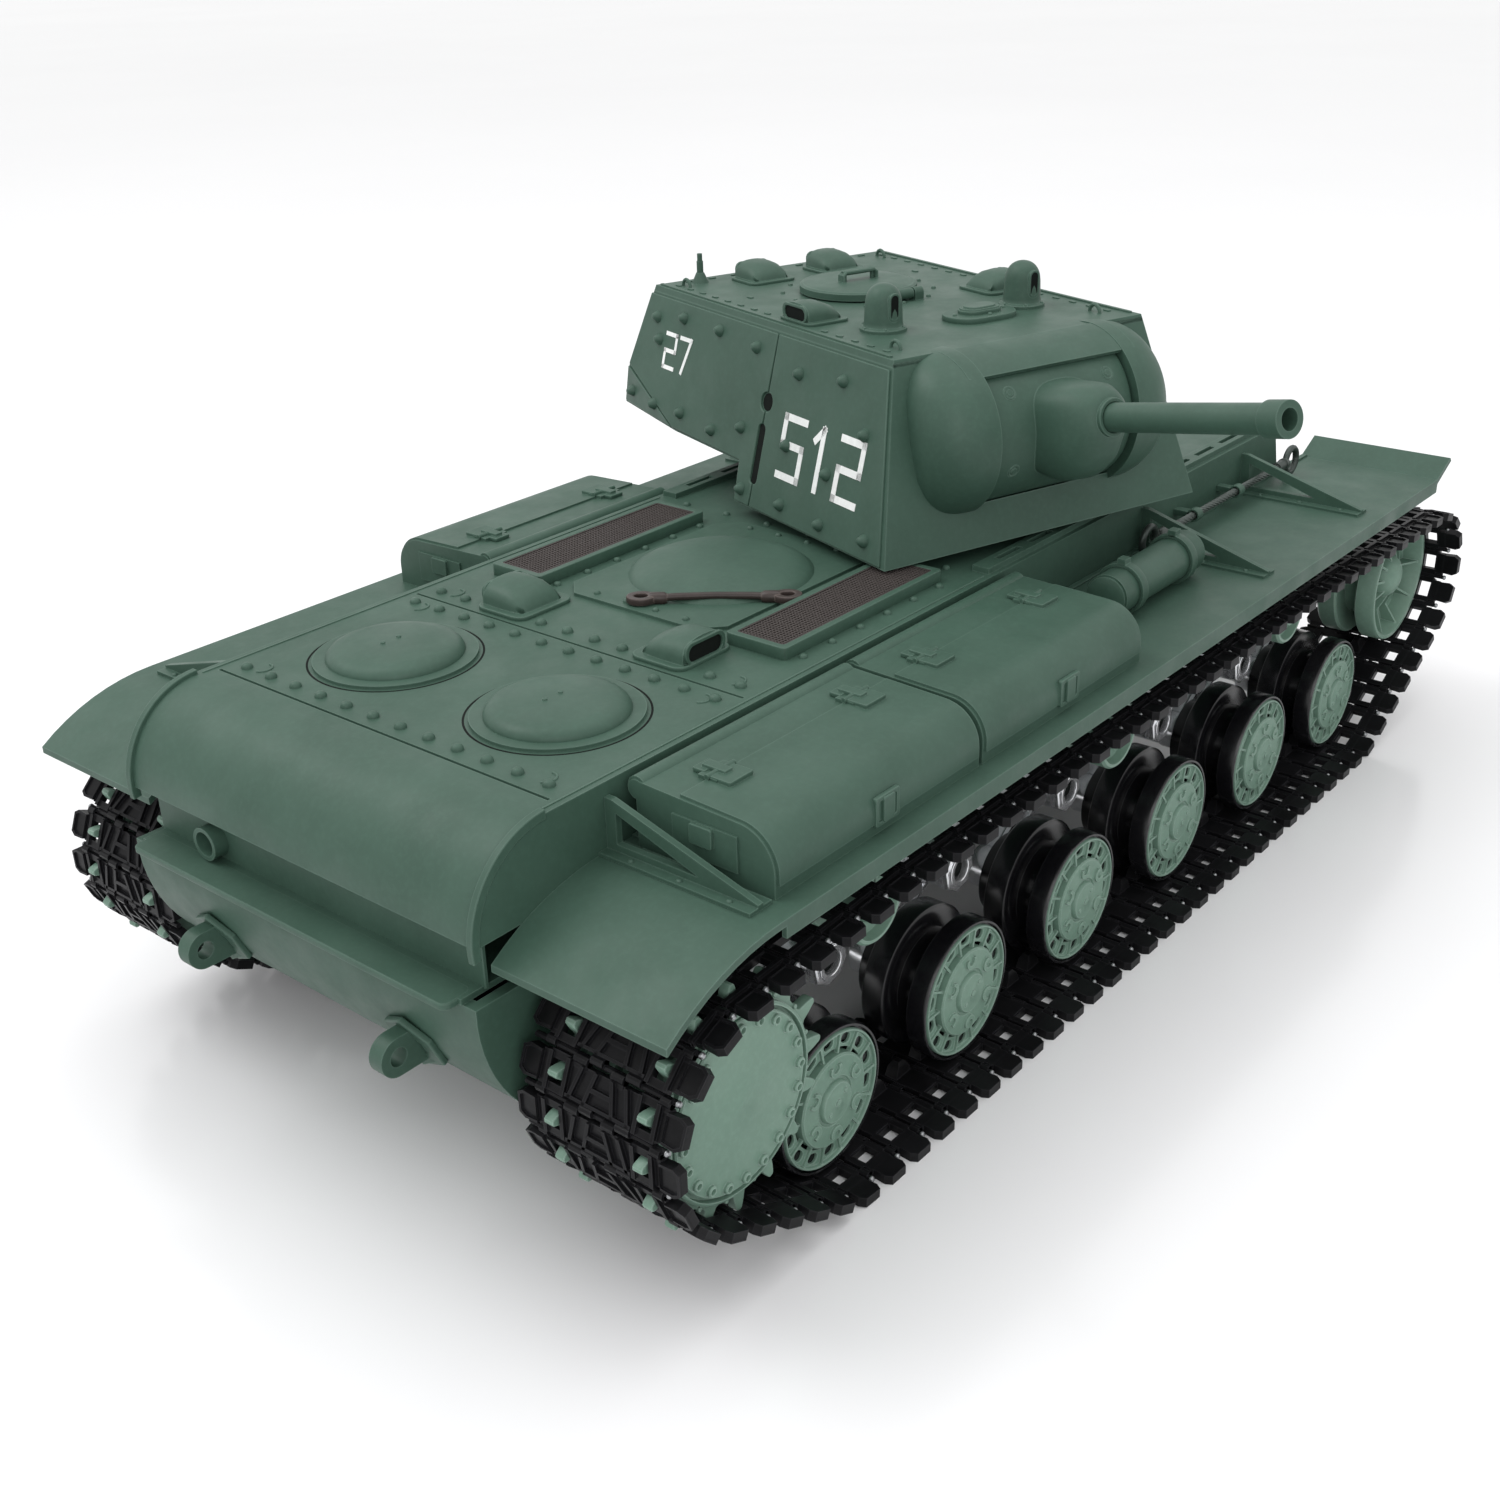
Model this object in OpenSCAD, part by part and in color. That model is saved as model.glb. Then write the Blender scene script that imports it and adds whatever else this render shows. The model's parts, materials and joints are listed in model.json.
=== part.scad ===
// Remote controlled tracked tank model, 1/16 scale.
// +X points to the front, +Y to the left, +Z up; the origin is on the ground under the hull's centre.
// Side parts are drawn on the right (negative Y) side and mirrored for the left side.

/* [Hull] */
// Height of the deck above the ground
deck_z = 104.2; // [100:0.1:106]
// Half the width of the hull
hull_hw = 58; // [56:0.1:58.2]
// Height of the hull's flat bottom above the ground
belly_z = 28; // [24:0.5:32]
// Wall thickness of the lower hull
wall = 2.6; // [2:0.1:3.2]

/* [Fenders] */
// Half the overall width across the fenders
fender_hw = 104; // [102:0.5:106]
// Height of the fenders' top face
fender_z = 88.6; // [88:0.1:89]

/* [Running gear] */
// Radius of the road wheels
wheel_r = 18.4; // [17.5:0.1:18.5]
// Fore-and-aft spacing of the road wheels
wheel_gap = 54.5; // [53:0.1:55]
// Free upward swing of a road wheel's arm, degrees
arm_reach = 24; // [22:0.5:25]
// Radius of the return rollers
roller_r = 9.2; // [8.5:0.1:9.4]
// Radius of the idler wheels
idler_r = 21.5; // [20:0.1:21.8]

/* [Tracks] */
// Width of a track link
track_w = 43.6; // [40:0.2:43.8]
// Thickness of a track link's plate
link_t = 2.4; // [2:0.1:2.6]
// Height of the guide horn on a link
horn_h = 3.8; // [3:0.1:4]

/* [Turret] */
// Fore-and-aft place of the turret's centre
turret_x = 25.4; // [22:0.2:28]
// Angle that the turret is turned to, degrees
turret_yaw = -108; // [-180:1:180]
// Angle that the gun is raised to, degrees
gun_elev = 12; // [0:1:14]
// Height of the turret's lower edge
turret_z = 108; // [107.8:0.1:109]
// Height of the turret's roof
roof_z = 157.6; // [156:0.1:160]

/* [Hidden] */
$fn = 64;
eps = 0.01;
fit = 0.06;                      // radial clearance of a running fit
air = 0.4;                       // clearance between parts that pass each other

// wheel stations
wheel_z = 21.2;
wheel_x0 = -134.9;
wheel_n = 6;
sprocket_x = -172.6;
sprocket_z = 45.7;
idler_x = 182.8;
idler_z = 48.3;
roller_x = [-118, -10, 95];
roller_z = 63.3;
teeth = 16;
pitch_r = 25.63;
arm_pivot_z = 38;

// distances out from the hull's centre plane
arm_w0 = 59;
arm_w1 = 65;
wheel_w0 = 66.2;
rim_w0 = 72;
groove_w = [78.9, 85.1];
wheel_w1 = 91;
track_mid_w = 82;
tooth_w = [70, 94];
tooth_t = 2.6;

// gun and turret places, in the turret's own frame
trunnion_x = 45;
trunnion_z = 136;
mask_r = 20;
mask_hw = 23;
muzzle_x = 94;
hatch_x = -28;
hatch_r = 17;
hatch_pin_x = hatch_x + hatch_r + 2.6;
hatch_pin_z = roof_z + 1.9;
ring_r = 44;

// track path: circles touched by the links' middle plane, anticlockwise seen from the right side
path_c = [
    [sprocket_x, sprocket_z, pitch_r],
    [wheel_x0, wheel_z, wheel_z - link_t / 2],
    [wheel_x0 + (wheel_n - 1) * wheel_gap, wheel_z, wheel_z - link_t / 2],
    [idler_x, idler_z, idler_r + air + link_t / 2],
    [roller_x[2], roller_z, roller_r + air + link_t / 2],
    [roller_x[0], roller_z, roller_r + air + link_t / 2]];
path_n = len(path_c);
function wrap(a, low) = a < low ? wrap(a + 360, low) : a;
function span(i) = let (a = path_c[i], b = path_c[(i + 1) % path_n]) [b.x - a.x, b.y - a.y];
function leave_a(i) = let (d = span(i), r = path_c[i][2] - path_c[(i + 1) % path_n][2])
    atan2(d.y, d.x) - acos(r / norm(d));
function meet_a(i) = leave_a((i + path_n - 1) % path_n);
function arc_a(i) = wrap(leave_a(i) - meet_a(i), 0);
function arc_len(i) = arc_a(i) * PI / 180 * path_c[i][2];
function line_len(i) = let (d = span(i), r = path_c[i][2] - path_c[(i + 1) % path_n][2])
    sqrt(d * d - r * r);
function path_sum(i) = i == 0 ? 0 : path_sum(i - 1) + arc_len(i - 1) + line_len(i - 1);
path_len = path_sum(path_n);
link_n = round(path_len / (2 * pitch_r * sin(180 / teeth)));
link_pitch = path_len / link_n;
// the first link lies at the rearmost point of the drive sprocket
path_start = wrap(180 - meet_a(0), 0) * PI / 180 * pitch_r;
// place along the path: [x, z, turn]
function on_arc(i, s) = let (c = path_c[i], a = meet_a(i) + s / c[2] * 180 / PI)
    [c.x + c[2] * cos(a), c.y + c[2] * sin(a), a + 90];
function on_line(i, s) = let (c = path_c[i], a = leave_a(i))
    [c.x + c[2] * cos(a) - s * sin(a), c.y + c[2] * sin(a) + s * cos(a), a + 90];
function path_at(s, i = 0) =
    s < arc_len(i) ? on_arc(i, s)
    : s < arc_len(i) + line_len(i) ? on_line(i, s - arc_len(i))
    : path_at(s - arc_len(i) - line_len(i), (i + 1) % path_n);

// draws its children on the right side, the left side, or both
module left() {
    mirror([0, 1, 0]) children();
}
module both() {
    children();
    left() children();
}
// a cylinder across the hull on the right side, from one distance out to another
module across(x, z, r, w0, w1) {
    translate([x, -w0, z]) rotate([90, 0, 0]) cylinder(r = r, h = w1 - w0);
}
// a turned shape across the hull on the right side: points are [radius, distance out]
module turned(x, z, points) {
    translate([x, 0, z]) rotate([90, 0, 0]) rotate_extrude() polygon(points);
}
// extrudes an x-z outline across the hull, half width hw
module profile(hw) {
    rotate([90, 0, 0]) linear_extrude(2 * hw, center = true) children();
}
// a box given by its two corners
module block(a, b) {
    translate(a) cube(b - a);
}

// ---- hull ----
tail_r = 40;
tail_x = -166;
tail_z = 68;
nose_x = 196;
tub_top = 86.4;
module tub_outline() {
    difference() {
        union() {
            translate([tail_x, tail_z]) circle(r = tail_r, $fn = 96);
            polygon([[tail_x, belly_z], [150, belly_z], [nose_x - 12, 46], [nose_x, 60],
                     [nose_x - 6, 68], [152, 80], [148, tub_top], [tail_x, tub_top]]);
        }
        translate([tail_x - 60, tail_z + 2]) square([60 + eps, 60]);
        translate([tail_x - 1, tub_top]) square([60, 60]);
    }
}
module tub_cavity() {
    translate([tail_x, tail_z]) circle(r = tail_r - wall, $fn = 96);
    polygon([[tail_x, belly_z + wall], [149, belly_z + wall], [nose_x - 15, 48],
             [nose_x - 10, 63], [147, 76], [144, 90], [tail_x, 90]]);
}
module station_pin(x, z, r, w) {
    across(x, z, r, hull_hw - wall, w);
    across(x, z, r + 3, hull_hw - eps, arm_w0 - air);
}
module hull_tub() {
    color("#566f62") {
        difference() {
            profile(hull_hw) tub_outline();
            profile(hull_hw - wall) tub_cavity();
            both() across(sprocket_x, sprocket_z, 5, hull_hw - wall - 1, hull_hw + 1);
        }
        both() {
            for (k = [0:wheel_n - 1])
                station_pin(wheel_x0 + k * wheel_gap + arm_reach, arm_pivot_z, 2.5, arm_w1);
            for (x = roller_x)
                station_pin(x, roller_z, 2, 90);
            station_pin(idler_x, idler_z, 3, 89);
        }
        // guard plate under the tail overhang
        block([-206.3, -54.2, tail_z + 2 - eps], [tail_x, 54.2, tail_z + 3.4]);
        block([tail_x - 2, wall - hull_hw - eps, tail_z], [tail_x, hull_hw - wall + eps, tub_top]);
        // pipe stub in the air outlet
        difference() {
            translate([-204, 32.5, 76]) rotate([0, 90, 0]) cylinder(r = 4, h = 37);
            translate([-205, 32.5, 76]) rotate([0, 90, 0]) cylinder(r = 3, h = 30);
        }
    }
}

// ---- upper hull ----
over_r = 21;
over_x = -183.5;
up_bot = 86.8;
module upper_outline(d) {
    translate([over_x, deck_z - over_r]) intersection() {
        circle(r = over_r - d, $fn = 96);
        translate([-over_r, -d * 2]) square([over_r + eps, over_r * 2]);
    }
    polygon([[over_x, deck_z - over_r - 2 * d], [over_x, deck_z - d], [146 - d, deck_z - d],
             [151 - d, up_bot - 2 * d], [tail_x - 1, up_bot - 2 * d],
             [tail_x - 1, deck_z - over_r - 2 * d]]);
}
module upper_hull() {
    color("#566f62") difference() {
        union() {
            profile(hull_hw) upper_outline(0);
            // slotted rails beside the turret
            both() block([-22, -56.5, deck_z - eps], [140, -51.5, deck_z + 1.6]);
        }
        profile(hull_hw - wall) upper_outline(wall);
        translate([turret_x, 0, deck_z - 10]) cylinder(r = ring_r, h = 20, $fn = 128);
        // grooves across the rear deck
        for (x = [-178.9, -118.7])
            block([x - 0.4, -54.5, deck_z - 0.6], [x + 0.4, 54.5, deck_z + 1]);
        both() for (x = [-14:16:122])
            block([x, -54.9, deck_z + 0.4], [x + 11, -53.1, deck_z + 3]);
        // seats for the round covers
        for (y = [-27, 27])
            translate([-149, y, deck_z - 10]) cylinder(r = 14, h = 20);
        // engine opening
        block([-88, -20, deck_z - 10], [-36, 20, deck_z + 5]);
    }
}

// ---- deck pieces ----
module dome(r, h) {
    ball = (r * r + h * h) / (2 * h);
    intersection() {
        translate([0, 0, h - ball]) sphere(r = ball, $fn = 96);
        cylinder(r = r + 1, h = h + 1);
    }
}
module engine_hatch() {
    color("#566f62") {
        difference() {
            block([-96, -26, deck_z], [-29, 26, deck_z + 0.9]);
            for (x = [-96, -29], y = [-26, 26])
                translate([x, y, deck_z - 1]) rotate([0, 0, 45]) cube([8, 8, 6], center = true);
        }
        block([-87.6, -19.6, deck_z - wall], [-36.4, 19.6, deck_z + eps]);
        translate([-62, 0, deck_z + 0.9 - eps]) dome(22, 2.3);
    }
}
module deck_covers() {
    color("#566f62") for (y = [-27, 27]) translate([-149, y, 0]) {
        translate([0, 0, deck_z - wall]) cylinder(r = 14 - fit, h = wall + eps);
        translate([0, 0, deck_z]) cylinder(r = 19.5, h = 0.8);
        translate([0, 0, deck_z + 0.8 - eps]) dome(16, 2.6);
    }
}
grille = [[-97, 31.5], [-33, 49]];
module intake_grilles() {
    color("#6a5a54") both() {
        difference() {
            block([grille[0].x, -grille[1].y, deck_z], [grille[1].x, -grille[0].y, deck_z + 3]);
            block([grille[0].x + 2, 2 - grille[1].y, deck_z + 2.2],
                  [grille[1].x - 2, -grille[0].y - 2, deck_z + 4]);
        }
    }
}
module vent_cowls() {
    color("#566f62") both() translate([-107.6, -28, deck_z]) {
        difference() {
            intersection() {
                rotate([90, 0, 0]) cylinder(r = 9, h = 13, center = true);
                translate([-9, -7, 0]) cube([18, 14, 5]);
            }
            translate([1, -5.5, -1]) cube([12, 11, 4.5]);
        }
    }
}
module deck_link() {
    color("#50423e") translate([-80, -13, deck_z + 2]) rotate([0, 0, -52]) {
        rotate([0, 90, 0]) cylinder(r = 1, h = 29, center = true);
        for (x = [-16, 16]) translate([x, 0, 0]) difference() {
            cylinder(r = 3.4, h = 1.8, center = true);
            cylinder(r = 1.6, h = 4, center = true);
        }
    }
}

// ---- tow eyes: a lug with a cross hole on a hexagonal pad ----
eye_y = 33.5;
eye_z = 51;
eye_hole = 2.2;
module tow_eye(x, z, turn, roll, pad) {
    translate([x, -eye_y, z]) rotate([roll, turn, 0]) difference() {
        union() {
            rotate([90, 0, 0]) cylinder(r = 4.6, h = 4, center = true);
            translate([0, -2, -4.6]) cube([pad, 4, 9.2]);
            translate([pad - 1.6, 0, 0]) rotate([0, 90, 0]) cylinder(r = 7, h = 1.6, $fn = 6);
        }
        rotate([90, 0, 0]) cylinder(r = eye_hole, h = 9, center = true);
    }
}
module tow_eyes() {
    color("#566f62") both() {
        difference() {
            tow_eye(-209, eye_z, 0, 0, 9);
            profile(hull_hw) translate([tail_x, tail_z]) circle(r = tail_r + fit, $fn = 96);
        }
        difference() {
            tow_eye(nose_x + 4, 53, 180, 90, 14);
            profile(hull_hw) tub_outline();
        }
    }
}

// ---- fenders ----
fend_in = hull_hw + 0.05;
fend_t = 1.6;
fend_tail_x = -160;
fend_r = 58;
fend_nose_x = 170;
module fender_outline() {
    polygon([[fend_tail_x, fender_z - fend_t], [fend_nose_x, fender_z - fend_t],
             [fend_nose_x + 10, fender_z + 3.6], [fend_nose_x + 9, fender_z + 4.8],
             [fend_nose_x - 0.6, fender_z], [fend_tail_x, fender_z]]);
    intersection() {
        translate([fend_tail_x - 8, fender_z - fend_r]) difference() {
            circle(r = fend_r, $fn = 128);
            circle(r = fend_r - fend_t, $fn = 128);
        }
        translate([fend_tail_x - 41, fender_z - 12]) square([33, 13]);
    }
    translate([fend_tail_x - 8, fender_z - fend_t]) square([9, fend_t]);
}
module fenders() {
    color("#5b7568") both() {
        translate([0, -(fend_in + fender_hw) / 2, 0])
            profile((fender_hw - fend_in) / 2) fender_outline();
        // folded outer edge
        block([fend_tail_x - 6, -fender_hw, fender_z - 4.4],
              [fend_nose_x, -fender_hw + 1.2, fender_z - fend_t + eps]);
    }
}
// triangular stays standing on the fenders
module bracket(x, top, reach) {
    translate([x, 0, 0]) rotate([90, 0, 90]) linear_extrude(1.6, center = true) difference() {
        polygon([[-fend_in, fender_z], [-fend_in, top], [-fend_in - 2, top],
                 [-fend_in - reach, fender_z + 1.4], [-fend_in - reach, fender_z]]);
        polygon([[-fend_in - 3, fender_z + 2.4], [-fend_in - 3, top - 2.8],
                 [-fend_in - reach * 0.62, fender_z + 2.4]]);
    }
    block([x - 3.4, -fend_in - reach, fender_z], [x + 3.4, -fend_in, fender_z + 0.8]);
}
module fender_brackets() {
    color("#5b7568") both() {
        bracket(-166.5, 101, 40);
        bracket(123, 101, 40);
        bracket(58, 101, 40);
    }
}

// ---- stowage boxes on the fenders ----
box_w0 = 59;
box_w1 = 98;
box_top = 103.8;
module stowage_box(x, l) {
    shoulder = 9;
    translate([x + l / 2, 0, 0]) rotate([90, 0, 90]) linear_extrude(l, center = true) {
        polygon([[-box_w0 - 3, fender_z], [-box_w0 - 3, box_top], [-box_w1 + shoulder, box_top - 1],
                 [-box_w1 + shoulder, fender_z]]);
        translate([-box_w1 + shoulder, box_top - 1 - shoulder]) intersection() {
            circle(r = shoulder);
            translate([-shoulder, -1]) square([shoulder + 1, shoulder + 1]);
        }
        polygon([[-box_w1, fender_z], [-box_w1, box_top - 1 - shoulder],
                 [-box_w1 + shoulder + 1, box_top - 1 - shoulder], [-box_w1 + shoulder + 1, fender_z]]);
        translate([-box_w0 - 3, box_top - 2]) circle(r = 2.2);
    }
}
module box_fittings(x, l) {
    for (u = [x + 0.18 * l, x + 0.82 * l])
        block([u - 4, -76, box_top - 1.6], [u + 4, -71, box_top + 0.6]);
    block([x + l / 2 - 3, -box_w1 - 0.8, 92], [x + l / 2 + 3, -box_w1 + 1, 97]);
}
module stowage_boxes() {
    color("#566f62") {
        stowage_box(-162, 72);
        box_fittings(-162, 72);
        stowage_box(-88.6, 72);
        box_fittings(-88.6, 72);
        left() {
            stowage_box(-88.6, 72);
            box_fittings(-88.6, 72);
        }
    }
}
module spare_tank() {
    tank_r = 6;
    tank_z = fender_z + tank_r + 0.8;
    color("#566f62") translate([0, -78, tank_z]) rotate([0, 90, 0]) {
        translate([0, 0, 2]) cylinder(r = tank_r, h = 44);
        for (x = [9, 37]) translate([0, 0, x]) {
            cylinder(r = tank_r + 0.7, h = 2.4);
            translate([0, -1.5, 0]) cube([tank_r + 0.8, 3, 2.4]);
        }
    }
    color("#566f62") translate([46 - eps, -78, tank_z]) rotate([0, 90, 0]) cylinder(r = 1.6, h = 3);
}
module cable_eye() {
    rotate([90, 0, 0]) rotate_extrude() translate([4, 0]) circle(r = 1.1, $fn = 24);
}
module tow_cable() {
    cable_z = 94;
    cable_w = 64.2;
    ends = [51, 146];
    color("#3a3f3c") {
        translate([0, -cable_w, cable_z]) {
            translate([ends[0] + 7, 0, 0]) rotate([0, 90, 0])
                cylinder(r = 1.2, h = ends[1] - ends[0] - 14, $fn = 24);
            for (x = ends)
                translate([x, 0, 0]) cable_eye();
            for (x = [ends[0] + 3.6, ends[1] - 10.6])
                translate([x, 0, 0]) rotate([0, 90, 0]) cylinder(r = 1.7, h = 7, $fn = 24);
        }
        // clips on the hull's side
        for (x = [78, 106])
            block([x, -cable_w, cable_z - 0.8], [x + 3, -hull_hw, cable_z + 0.8]);
    }
}

// ---- tracks ----
link_l = 9.2;
window = [4.6, 5];
module link_outline() {
    difference() {
        union() {
            square([link_l, track_w - 5], center = true);
            translate([-0.9, 0]) square([link_l - 3.4, track_w], center = true);
        }
        for (w = tooth_w)
            translate([0, track_mid_w - w]) square(window, center = true);
    }
}
module link() {
    translate([0, -track_mid_w, -link_t / 2]) linear_extrude(link_t) link_outline();
    translate([0, -track_mid_w, link_t / 2 - eps]) rotate([90, 0, 0])
        linear_extrude(3.6, center = true)
            polygon([[-3, 0], [-1, horn_h], [1, horn_h], [3, 0]]);
}
module track() {
    for (k = [0:link_n - 1]) {
        p = path_at((path_start + k * link_pitch) % path_len);
        translate([p.x, 0, p.y]) rotate([0, -p[2], 0]) link();
    }
}
module track_right() {
    color("#1b1d1e") track();
}
module track_left() {
    color("#1b1d1e") left() track();
}

// ---- road wheels ----
module road_wheel(k) {
    x = wheel_x0 + (k - 1) * wheel_gap;
    bore = 2.5 + fit;
    r = wheel_r;
    color("#82a08f") turned(x, wheel_z, [
        [bore, wheel_w0], [11, wheel_w0], [11, rim_w0], [r, rim_w0], [r, groove_w[0]], [12.4, groove_w[0]],
        [12.4, groove_w[1]], [r, groove_w[1]], [r, wheel_w1 - 1], [r - 1, wheel_w1],
        [r - 4, wheel_w1], [r - 5, wheel_w1 - 3], [9.6, wheel_w1 - 3], [9, wheel_w1],
        [5, wheel_w1], [4.6, wheel_w1 + 1.6], [0, wheel_w1 + 1.6], [0, wheel_w1 - 2.4],
        [bore, wheel_w1 - 2.4]]);
}
arm_t = arm_w1 - arm_w0;
module swing_arm(k) {
    x = wheel_x0 + (k - 1) * wheel_gap;
    px = x + arm_reach;
    color("#b9bcc0") {
        difference() {
            union() {
                across(px, arm_pivot_z, 6, arm_w0, arm_w1);
                across(x, wheel_z, 6, arm_w0, arm_w1);
                hull() {
                    across(px, arm_pivot_z, 3.6, arm_w0 + 1, arm_w1 - 1, $fn = 32);
                    across(x, wheel_z, 3.6, arm_w0 + 1, arm_w1 - 1, $fn = 32);
                }
            }
            across(px, arm_pivot_z, 2.5 + fit, arm_w0 - 1, arm_w1 + 1);
        }
        across(x, wheel_z, 2.5, arm_w1 - eps, wheel_w1 - 3);
    }
}
module return_roller(k) {
    r = roller_r;
    color("#82a08f") turned(roller_x[k - 1], roller_z, [
        [2 + fit, 70], [r, 70], [r, groove_w[0]], [4.8, groove_w[0]], [4.8, groove_w[1]],
        [r, groove_w[1]], [r, 91], [r - 1.6, 91], [4, 89.6], [3.6, 91.4], [0, 91.4], [0, 90.4],
        [2 + fit, 90.4]]);
}
module idler() {
    r = idler_r;
    color("#82a08f") turned(idler_x, idler_z, [
        [3 + fit, 70], [6, 70], [6, rim_w0], [r, rim_w0], [r, groove_w[0]], [14, groove_w[0]],
        [14, groove_w[1]], [r, groove_w[1]], [r, 92], [r - 1.4, 92], [r - 2.6, 86], [9, 86],
        [7, 91], [3, 92], [0, 92], [0, 89.4], [3 + fit, 89.4]]);
}
module idler_right() {
    idler();
}
module idler_left() {
    left() idler();
}
// teeth stand in two rows and pass through the links' windows
module tooth_ring(w) {
    root_r = pitch_r - link_t / 2 - 1.2;
    translate([sprocket_x, -w, sprocket_z]) rotate([90, 0, 0])
        linear_extrude(tooth_t, center = true) {
            circle(r = root_r, $fn = 96);
            for (k = [0:teeth - 1]) rotate(k * 360 / teeth)
                polygon([[root_r - 2, -1.8], [pitch_r, -1.5], [pitch_r + 2.4, -0.7],
                         [pitch_r + 2.4, 0.7], [pitch_r, 1.5], [root_r - 2, 1.8]]);
        }
}
module sprocket() {
    shaft_r = 3;
    color("#82a08f") difference() {
        union() {
            turned(sprocket_x, sprocket_z, [
                [0, 66], [8, 66], [10, 68], [20.5, 68.4], [20.5, groove_w[0]], [17.6, groove_w[0]],
                [17.6, groove_w[1]], [20.5, groove_w[1]], [20.5, 95.2], [22.2, 95.4],
                [22.2, 96.6], [21.4, 97.2], [0, 97.2]]);
            for (w = tooth_w)
                tooth_ring(w);
        }
        across(sprocket_x, sprocket_z, shaft_r, 60, 86);
    }
    color("#b9bcc0") across(sprocket_x, sprocket_z, shaft_r, 46, 86);
}
module sprocket_right() {
    sprocket();
}
module sprocket_left() {
    left() sprocket();
}

// ---- inner pieces ----
module drive_gearboxes() {
    color("#8a8d90") both() {
        difference() {
            block([-184, -54, 38], [-150, -30, 60]);
            across(sprocket_x, sprocket_z, 3 + fit, 45, 56);
        }
        translate([-150 - eps, -42, 46]) rotate([0, 90, 0]) cylinder(r = 12, h = 38);
    }
}
module battery_pack() {
    color("#2f5fa8") block([-70, -23, belly_z + wall + 0.3], [40, 23, 56]);
}
module control_board() {
    color("#2c7a3f") {
        block([60, -30, belly_z + wall + 4], [130, 30, belly_z + wall + 5.6]);
        for (x = [63, 127], y = [-27, 27])
            translate([x, y, belly_z + wall]) cylinder(r = 2.4, h = 4 + eps, $fn = 24);
    }
    color("#222222") block([70, -20, belly_z + wall + 5.6 - eps], [110, 20, belly_z + wall + 14]);
}
module turret_drive() {
    color("#d8d8d2") {
        difference() {
            translate([turret_x, 0, 90]) cylinder(r = ring_r + 6, h = 4, $fn = 128);
            translate([turret_x, 0, 89]) cylinder(r = ring_r - 3, h = 6, $fn = 128);
        }
        both() block([turret_x - 8, -hull_hw + wall + 0.2, 90], [turret_x + 8, -48, 94]);
        translate([turret_x - 52, 0, 78]) cylinder(r = 7, h = 16);
    }
}

// ---- turret, in its own frame ----
module turret_frame() {
    translate([turret_x, 0, 0]) rotate([0, 0, turret_yaw]) children();
}
roof_hw = 42;
base_hw = 55;
tail_hw = 47.4;
// where the overhanging rear starts, and the height of its floor
bustle_x = -13;
bustle_z = 118.8;
module turret_form(d) {
    intersection() {
        profile(80) polygon([
            [59 - d, turret_z + d], [45.8 - d, roof_z - d], [-74 + d, roof_z - d],
            [-87.2 + 1.2 * d, bustle_z + 1.2 + d], [bustle_x + d, bustle_z + d],
            [bustle_x + d, turret_z + d]]);
        rotate([90, 0, 90]) linear_extrude(300, center = true) polygon([
            [base_hw - d, turret_z - 4], [roof_hw - d, roof_z], [d - roof_hw, roof_z],
            [d - base_hw, turret_z - 4]]);
        translate([0, 0, 90]) linear_extrude(90) polygon([
            [60, base_hw - d], [-13, base_hw - d], [-88, tail_hw - d], [-88, d - tail_hw],
            [-13, d - base_hw], [60, d - base_hw]]);
    }
}
roof_t = 1.8;
// the round space that the mask turns in
module mask_pocket() {
    translate([trunnion_x, 0, trunnion_z]) rotate([90, 0, 0])
        cylinder(r = mask_r + 0.4, h = 2 * mask_hw + 0.8, center = true, $fn = 96);
}
// the space above the shell's rim, taken by the roof plate
module roof_space() {
    translate([-120, -80, roof_z - roof_t]) cube([166, 160, 20]);
}
module cheek_bulge(s) {
    cheek_hw = 40;
    translate([trunnion_x, s * (mask_hw + 0.4), trunnion_z])
        rotate([-s * 90, 0, 0]) rotate_extrude() polygon([
            [0, 0], [mask_r + 1.6, 0], [mask_r + 1.2, 6], [mask_r - 1, 11],
            [mask_r - 5, cheek_hw - mask_hw - 1.6], [0, cheek_hw - mask_hw]]);
}
module cover_shield() {
    translate([trunnion_x, 0, trunnion_z]) rotate([90, 0, 0])
        linear_extrude(2 * mask_hw + 10, center = true) intersection() {
            difference() {
                circle(r = mask_r + 1.8, $fn = 96);
                circle(r = mask_r + 0.6, $fn = 96);
            }
            polygon([[0, 0], [24, 30], [0, 40]]);
        }
}
spigot_z = 96;
module turret_shell() {
    skin = 2.2;
    color("#566f62") turret_frame() difference() {
        union() {
            difference() {
                union() {
                    turret_form(0);
                    for (s = [-1, 1])
                        cheek_bulge(s);
                }
                intersection() {
                    turret_form(skin);
                    translate([-120, -80, 90]) cube([240, 160, roof_z - roof_t - 90]);
                }
            }
            cover_shield();
            // bearings of the gun's trunnions
            for (s = [-1, 1])
                translate([40, s * 27.4 - 3, trunnion_z - 6]) cube([11, 6, 12]);
            // base ring over the deck, and the spigot in the deck's hole
            translate([0, 0, deck_z + 0.3])
                cylinder(r = ring_r + 2.4, h = turret_z - deck_z - 0.3 + eps, $fn = 128);
            translate([0, 0, spigot_z]) cylinder(r = ring_r - fit, h = turret_z - spigot_z, $fn = 128);
        }
        // the ring's hole, floored under the overhanging rear
        translate([0, 0, spigot_z - 1]) cylinder(r = ring_r - 3, h = 9.6, $fn = 128);
        translate([0, 0, spigot_z - 1]) intersection() {
            cylinder(r = ring_r - 3, h = 16, $fn = 128);
            translate([bustle_x + skin, -60, 0]) cube([120, 120, 30]);
        }
        roof_space();
        mask_pocket();
        translate([trunnion_x, 0, trunnion_z]) rotate([90, 0, 0])
            cylinder(r = 3 + fit, h = 70, center = true);
        // pistol ports through both side walls
        translate([-5, 0, 137]) rotate([90, 0, 0]) cylinder(r = 2.4, h = 140, center = true);
    }
}
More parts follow.
